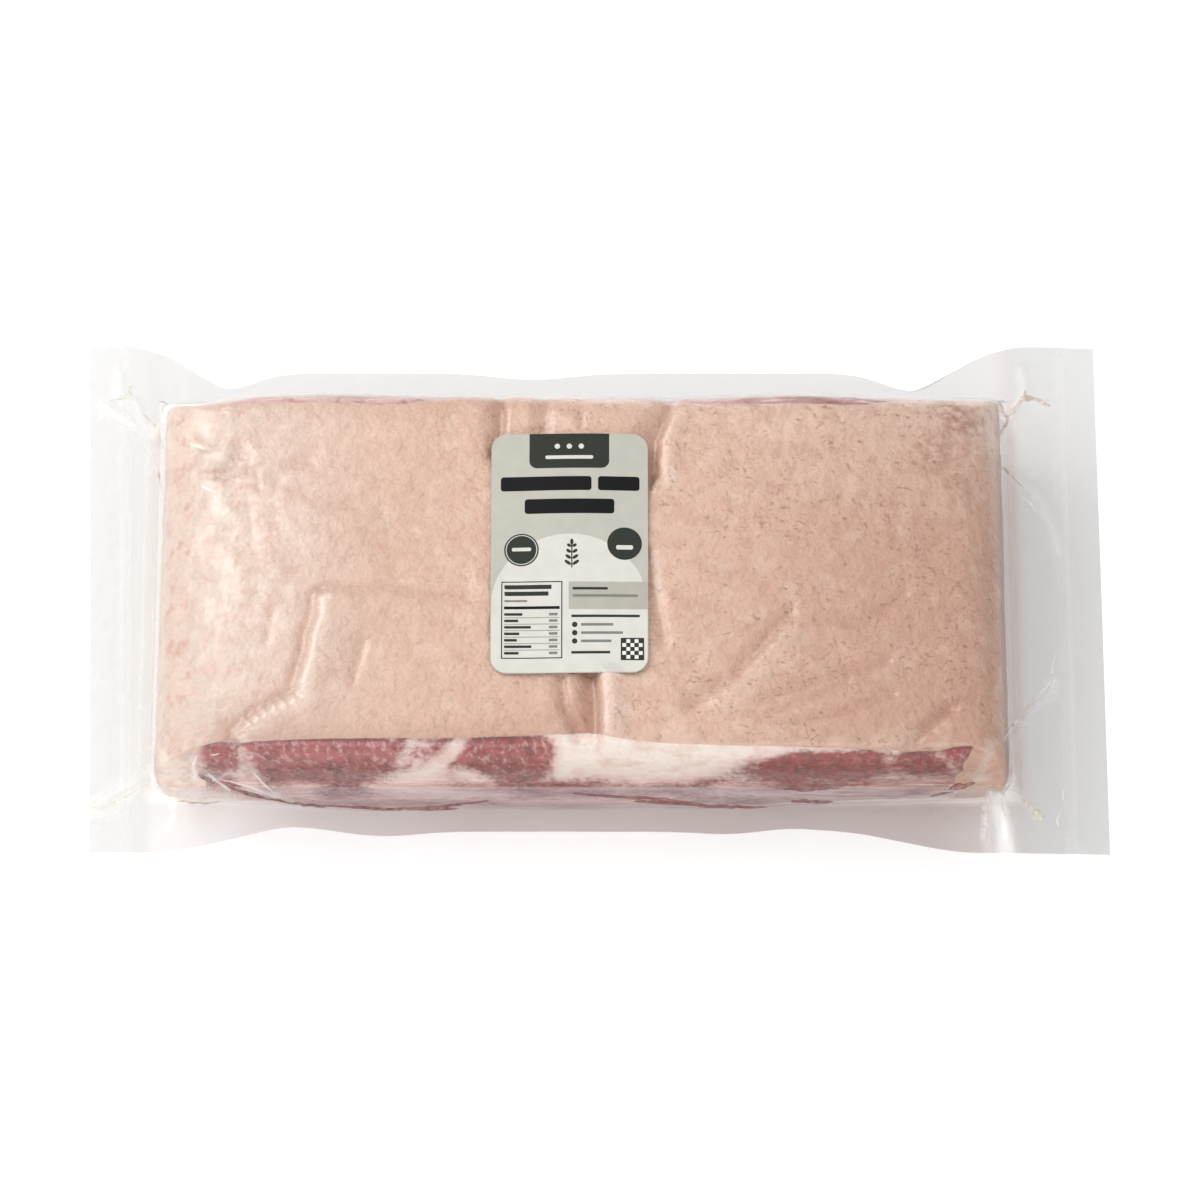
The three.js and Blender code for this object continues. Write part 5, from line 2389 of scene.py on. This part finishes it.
@dataclass(frozen=True)
class Plate:
    """A flat shape on the label, in millimetres right and down from the label's top left corner.

    radius_top and radius_bottom round its corners. turn tilts it about its middle, in degrees.
    """

    left: float
    top: float
    width: float
    height: float
    radius_top: float = 0.0
    radius_bottom: float = 0.0
    turn: float = 0.0
    step: float = 3.0
    corner_rows: ClassVar[int] = 9
    arc_rows: ClassVar[int] = 17
    least: ClassVar[float] = 0.02

    def rows(self) -> tuple[Array, Array]:
        """The heights of its rows from its middle, and its half width at each.

        Returns:
            The rows' heights and half widths.
        """

        def corner(radius: float) -> tuple[Array, Array]:
            """Drop below the edge, and loss of half width, round one corner.

            Args:
                radius: The corner's radius.

            Returns:
                The drops, and the losses.
            """
            arc = np.linspace(0.0, math.pi / 2.0, self.corner_rows)
            rounded = radius * (1.0 - np.cos(arc)), radius * (1.0 - np.sin(arc))
            return rounded if radius else (np.zeros(1), np.zeros(1))

        half = self.height / 2.0
        top_drop, top_loss = corner(self.radius_top)
        low_drop, low_loss = corner(self.radius_bottom)
        span = self.height - self.radius_top - self.radius_bottom
        inner = np.linspace(0.0, 1.0, max(2, math.ceil(span / self.step) + 1))[1:-1]
        middle = -half + self.radius_bottom + span * inner
        down = np.concatenate([-half + low_drop, middle, (half - top_drop)[::-1]])
        wide = self.width / 2.0 - np.concatenate([low_loss, np.zeros(len(middle)), top_loss[::-1]])
        return down, np.maximum(wide, self.least)


def disc(x: float, y: float, radius_x: float, radius_y: float) -> Plate:
    """A round or oval plate about a middle."""
    return Oval(x - radius_x, y - radius_y, 2.0 * radius_x, 2.0 * radius_y)


@dataclass(frozen=True)
class Oval(Plate):
    """An oval that fills its rectangle."""

    def rows(self) -> tuple[Array, Array]:
        """The heights of its rows from its middle, and its half width at each."""
        turn = np.linspace(-math.pi / 2.0, math.pi / 2.0, self.arc_rows)
        return self.height / 2.0 * np.sin(turn), np.maximum(self.width / 2.0 * np.cos(turn), self.least)


@dataclass(frozen=True)
class Dome(Plate):
    """A plate whose top is a half oval, dome high."""

    dome: float = 10.0
    seam: ClassVar[float] = 0.5

    def rows(self) -> tuple[Array, Array]:
        """The heights of its rows from its middle, and its half width at each.

        Returns:
            The rows' heights and half widths.
        """
        down, wide = super().rows()
        crown = self.height / 2.0 - self.dome
        turn = np.linspace(0.0, math.pi / 2.0, self.arc_rows)
        kept = down < crown - self.seam
        rise = crown + self.dome * np.sin(turn)
        arch = np.maximum(np.cos(turn) * self.width / 2.0, self.least)
        return np.concatenate([down[kept], rise]), np.concatenate([wide[kept], arch])


Print = tuple[Ink, int, Plate]


@dataclass
class PaperLabel:
    """The paper label with its plain print: fields of colour, bars and simple shapes."""

    relief: TopRelief
    left: float = -33.4
    right: float = 18.8
    front: float = -40.4
    back: float = 47.2
    corner: float = 5.4
    lift: float = 0.15
    thickness: float = 0.2
    ink: float = 0.03
    paper: SmoothPaper = SmoothPaper("label_paper", paint(181, 178, 167))

    def height(self, x: Array, y: Array) -> Array:
        """Height of the label's upper face."""
        return self.relief.bed(x, y) + self.lift + self.thickness

    def plate(self, skin: Skin, shape: Plate, low: float, high: float) -> None:
        """Adds a thin closed plate of that shape that follows the label.

        Args:
            skin: Where the points and faces go.
            shape: The plate's outline.
            low: Its lower face above the label's upper face.
            high: Its upper face above the label's upper face.
        """
        down, wide = shape.rows()
        columns = max(2, math.ceil(shape.width / shape.step) + 1)
        across = np.linspace(-1.0, 1.0, columns)[None, :] * wide[:, None]
        along = np.broadcast_to(down[:, None], across.shape)
        turn = math.radians(shape.turn)
        x = self.left + shape.left + shape.width / 2.0 + across * math.cos(turn) - along * math.sin(turn)
        y = self.back - shape.top - shape.height / 2.0 + across * math.sin(turn) + along * math.cos(turn)
        face = self.height(x, y)
        over = skin.row(np.stack([x, y, face + high], axis=-1))
        under = skin.row(np.stack([x, y, face + low], axis=-1))
        skin.sheet(over)
        skin.sheet(under, up=False)
        skin.band(
            *(np.concatenate([r[0, :-1], r[:-1, -1], r[-1, :0:-1], r[:0:-1, 0]]) for r in (under, over))
        )

    def line_table(self) -> list[Print]:
        """The framed table at the lower left: a frame, two heading bars and rows of short bars.

        Returns:
            Its shapes, each with its ink and layer.
        """
        left, top, width, height, line = 3.6, 54.8, 20.2, 27.6, 0.35
        shapes = [
            (Ink.BLACK, 2, Plate(left, top, width, line)),
            (Ink.BLACK, 2, Plate(left, top + height - line, width, line)),
            (Ink.BLACK, 2, Plate(left, top, line, height)),
            (Ink.BLACK, 2, Plate(left + width - line, top, line, height)),
            (Ink.DARK, 2, Plate(left + 1.0, top + 1.3, 15.6, 1.5)),
            (Ink.DARK, 2, Plate(left + 1.0, top + 3.7, 14.6, 1.5)),
            (Ink.GREY, 2, Plate(left + 1.0, top + 6.7, 7.6, 0.7)),
            (Ink.BLACK, 2, Plate(left + 0.9, top + 9.0, width - 1.8, 1.0)),
        ]
        for number, words in enumerate((6.0, 4.6, 8.8, 5.0, 4.2, 9.0, 4.8)):
            y = top + 11.4 + 2.3 * number
            shapes.append((Ink.DARK, 2, Plate(left + 1.0, y, words, 0.9)))
            shapes.append((Ink.GREY, 2, Plate(left + width - 4.4, y, 2.8, 0.9)))
            if number:
                shapes.append((Ink.GREY, 2, Plate(left + 0.9, y - 0.75, width - 1.8, 0.2)))
        return shapes

    def notes(self) -> list[Print]:
        """The lower right: a beige strip, short bars beside three dots, and a small chequered square.

        Returns:
            Its shapes, each with its ink and layer.
        """
        shapes = [
            (Ink.BEIGE, 2, Plate(25.9, 55.0, 26.2, 9.9)),
            (Ink.DARK, 3, Plate(27.2, 57.0, 11.6, 0.9)),
            (Ink.GREY, 3, Plate(27.2, 59.6, 21.6, 0.9)),
            (Ink.DARK, 2, Plate(26.8, 66.9, 22.6, 0.9)),
            (Ink.DARK, 2, Plate(26.8, 79.9, 12.8, 0.9)),
        ]
        for number, words in enumerate((10.6, 13.8, 10.0)):
            y = 70.4 + 2.95 * number
            shapes.append((Ink.DARK, 2, disc(27.9, y, 0.9, 0.95)))
            shapes.append((Ink.GREY, 2, Plate(30.0, y - 0.45, words, 0.9)))
        shapes.append((Ink.DARK, 2, Plate(43.1, 75.2, 7.7, 8.0)))
        for row, column in np.ndindex(5, 5):
            if (row + column) % 2:
                shapes.append((Ink.WHITE, 3, Plate(43.6 + 1.36 * column, 75.7 + 1.42 * row, 1.26, 1.32)))
        return shapes

    def sprig(self) -> list[Print]:
        """A plain sprig with paired leaves, drawn in the middle of the pale dome.

        Returns:
            Its shapes, each with its ink and layer.
        """
        x, y, stem = 26.9, 45.4, 9.0
        shapes = [(Ink.DARK, 2, Plate(x - 0.2, y - stem / 2.0, 0.4, stem, 0.18, 0.18))]
        for pair in range(4):
            reach = 2.6 - 0.35 * pair
            across = reach * 0.5 * math.cos(math.radians(38.0)) + 0.3
            rise = y + 2.6 - 2.1 * pair
            for way in (-1.0, 1.0):
                leaf = Oval(x + way * across - reach / 2.0, rise - 0.55, reach, 1.1, turn=38.0 * way)
                shapes.append((Ink.DARK, 2, leaf))
        shapes.append((Ink.DARK, 2, Oval(x - 0.55, y - stem / 2.0 - 1.6, 1.1, 2.2)))
        return shapes

    def print(self) -> list[Print]:
        """Everything printed, as ink, layer and shape.

        Returns:
            The shapes, each with its ink and layer.
        """
        wide, tall = self.right - self.left, self.back - self.front
        inset, top = 0.25, 37.4
        pale = Dome(inset, top, wide - 2 * inset, tall - top - inset, 0.0, self.corner, dome=26.0)
        shapes = [
            (Ink.PALE, 1, pale),
            (Ink.DARK, 2, Plate(12.7, 0.05, 26.6, 12.8, 0.0, 2.7)),
            (Ink.PALE, 3, Plate(18.0, 8.2, 16.0, 1.3, 0.6, 0.6)),
            (Ink.BLACK, 2, Plate(3.2, 16.0, 30.2, 5.2, 1.0, 1.0)),
            (Ink.BLACK, 2, Plate(35.6, 16.0, 13.8, 5.2, 1.0, 1.0)),
            (Ink.BLACK, 2, Plate(11.2, 24.4, 29.8, 5.4, 1.0, 1.0)),
            (Ink.DARK, 2, disc(10.2, 43.2, 5.75, 6.0)),
            (Ink.PALE, 3, disc(10.2, 43.2, 5.25, 5.5)),
            (Ink.DARK, 4, disc(10.2, 43.2, 4.95, 5.2)),
            (Ink.PALE, 5, Plate(7.0, 42.4, 6.4, 1.3, 0.5, 0.5)),
            (Ink.DARK, 2, disc(44.4, 41.0, 5.75, 6.0)),
            (Ink.PALE, 3, Plate(41.6, 41.6, 5.6, 1.6, 0.6, 0.6)),
        ]
        shapes += [(Ink.PALE, 3, disc(22.0 + 4.0 * dot, 4.8, 0.9, 0.95)) for dot in range(3)]
        return shapes + self.sprig() + self.line_table() + self.notes()

    def build(self) -> list[bpy.types.Object]:
        """Makes the label and one piece for each ink.

        Returns:
            The pieces.
        """
        skin = Skin()
        wide, tall = self.right - self.left, self.back - self.front
        sheet = Plate(0.0, 0.0, wide, tall, self.corner, self.corner, 0.0, 2.0)
        self.plate(skin, sheet, -self.thickness, 0.0)
        label = skin.object("paper_label", flat=True)
        dress(label, self.paper.material())
        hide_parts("label")
        pieces = [label]
        shapes = self.print()
        for ink in Ink:
            skin = Skin()
            for _, layer, shape in filter(lambda entry: entry[0] is ink, shapes):
                self.plate(skin, shape, -self.ink / 2.0, self.ink * layer)
            printed = skin.object(f"label_print_{ink.value}", flat=True)
            look = SmoothPaper(f"print_{ink.value}", INK_COLOURS[ink], 0.06, 0.5)
            dress(printed, look.material())
            pieces.append(printed)
        return pieces


# ---------------------------------------------------------------- the studio


@dataclass(frozen=True)
class Studio:
    """The floor, the lights and the camera."""

    elevation: float = 65.0
    distance: float = 2300.0
    target: Triple = (2.85, -1.7, 27.0)
    across: float = 402.0
    sensor: float = 36.0
    floor_size: float = 6.0
    floor_gap: float = 0.3
    clip_end: float = 100.0
    sky: Quad = (0.05, 0.75, 0.5, 0.95)

    def floor(self) -> None:
        """A flat pale floor."""
        half = self.floor_size / 2.0
        mesh = bpy.data.meshes.new("studio_floor")
        corners = [(-half, -half, 0.0), (half, -half, 0.0), (half, half, 0.0), (-half, half, 0.0)]
        mesh.from_pydata(corners, [], [(0, 1, 2, 3)])
        made = add_object("studio_floor", mesh)
        made.data.materials.append(StudioPaint().material())
        made.location.z = -self.floor_gap * MM
        made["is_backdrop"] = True

    def lamp(self, name: str, place: Triple, size: Point, power: float, tint: Triple) -> None:
        """Adds a soft rectangular lamp that faces the pack.

        Args:
            name: The lamp's name.
            place: Where it stands, in metres.
            size: Its width and height, in metres.
            power: Its power, in watts.
            tint: Its colour.
        """
        data = bpy.data.lights.new(name, "AREA")
        data.shape = "RECTANGLE"
        data.size, data.size_y = size
        data.energy = power
        data.color = tint
        made = add_object(name, data)
        made.location = place
        made.rotation_euler = (-Vector(place)).to_track_quat("-Z", "Y").to_euler()

    def lights(self) -> None:
        """A large key from the back left, a weak fill from the front, and pale surroundings."""
        self.lamp("key_lamp", (-1.0, 0.75, 1.1), (1.1, 1.1), 16.0, (1.0, 0.985, 0.96))
        self.lamp("fill_lamp", (0.15, -1.5, 0.75), (2.0, 0.8), 11.0, (0.98, 0.99, 1.0))
        world = bpy.data.worlds.new("studio_surroundings")
        world.use_nodes = True
        tree = world.node_tree
        way = tree.nodes.new("ShaderNodeTexCoord").outputs["Generated"]
        split = tree.nodes.new("ShaderNodeSeparateXYZ")
        tree.links.new(way, split.inputs[0])
        climb = tree.nodes.new("ShaderNodeMapRange")
        climb.interpolation_type = "SMOOTHSTEP"
        tree.links.new(split.outputs["Z"], climb.inputs["Value"])
        for name, value in zip(("From Min", "From Max", "To Min", "To Max"), self.sky, strict=True):
            climb.inputs[name].default_value = value
        background = tree.nodes["Background"]
        background.inputs["Color"].default_value = (0.97, 0.98, 1.0, 1.0)
        tree.links.new(climb.outputs["Result"], background.inputs["Strength"])
        bpy.context.scene.world = world

    def camera(self) -> None:
        """The photograph's view: along +Y, from high above."""
        data = bpy.data.cameras.new("camera")
        data.sensor_width = self.sensor
        data.lens = self.sensor * self.distance / self.across
        data.clip_end = self.clip_end
        made = add_object("camera", data)
        turn = math.radians(self.elevation)
        back = Vector((0.0, -math.cos(turn), math.sin(turn)))
        made.location = (Vector(self.target) + back * self.distance) * MM
        made.rotation_euler = (-back).to_track_quat("-Z", "Y").to_euler()
        bpy.context.scene.camera = made
        bpy.context.scene.view_settings.view_transform = "Standard"
        bpy.context.scene.view_settings.look = "None"

    def build(self) -> None:
        """Sets up the whole studio."""
        self.floor()
        self.lights()
        self.camera()


# ---------------------------------------------------------------- the pack


def report(made: bpy.types.Object) -> None:
    """Logs a piece's name and how many triangles it takes."""
    made.data.calc_loop_triangles()
    LOG.info("%s: %d triangles", made.name, len(made.data.loop_triangles))


def write_sizes() -> None:
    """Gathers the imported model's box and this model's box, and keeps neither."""
    boxes = {"cad": CAD_BOX, "visual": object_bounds()}
    {name: [list(corner) for corner in box] for name, box in boxes.items()}


def main() -> None:
    """Builds the studio and every piece of the pack."""
    logging.basicConfig(level=logging.INFO, format="%(name)s %(message)s")
    Studio().build()
    form = PackForm()
    report(PorkSlab(form).build())
    pouch = VacuumPouch(form)
    film = pouch.build()
    report(film)
    for piece in JuiceTraces(pouch).build() + FilmFolds(form, film).build():
        report(piece)
    for piece in PaperLabel(form.relief).build():
        report(piece)
    write_sizes()


if __name__ == "__main__":
    main()
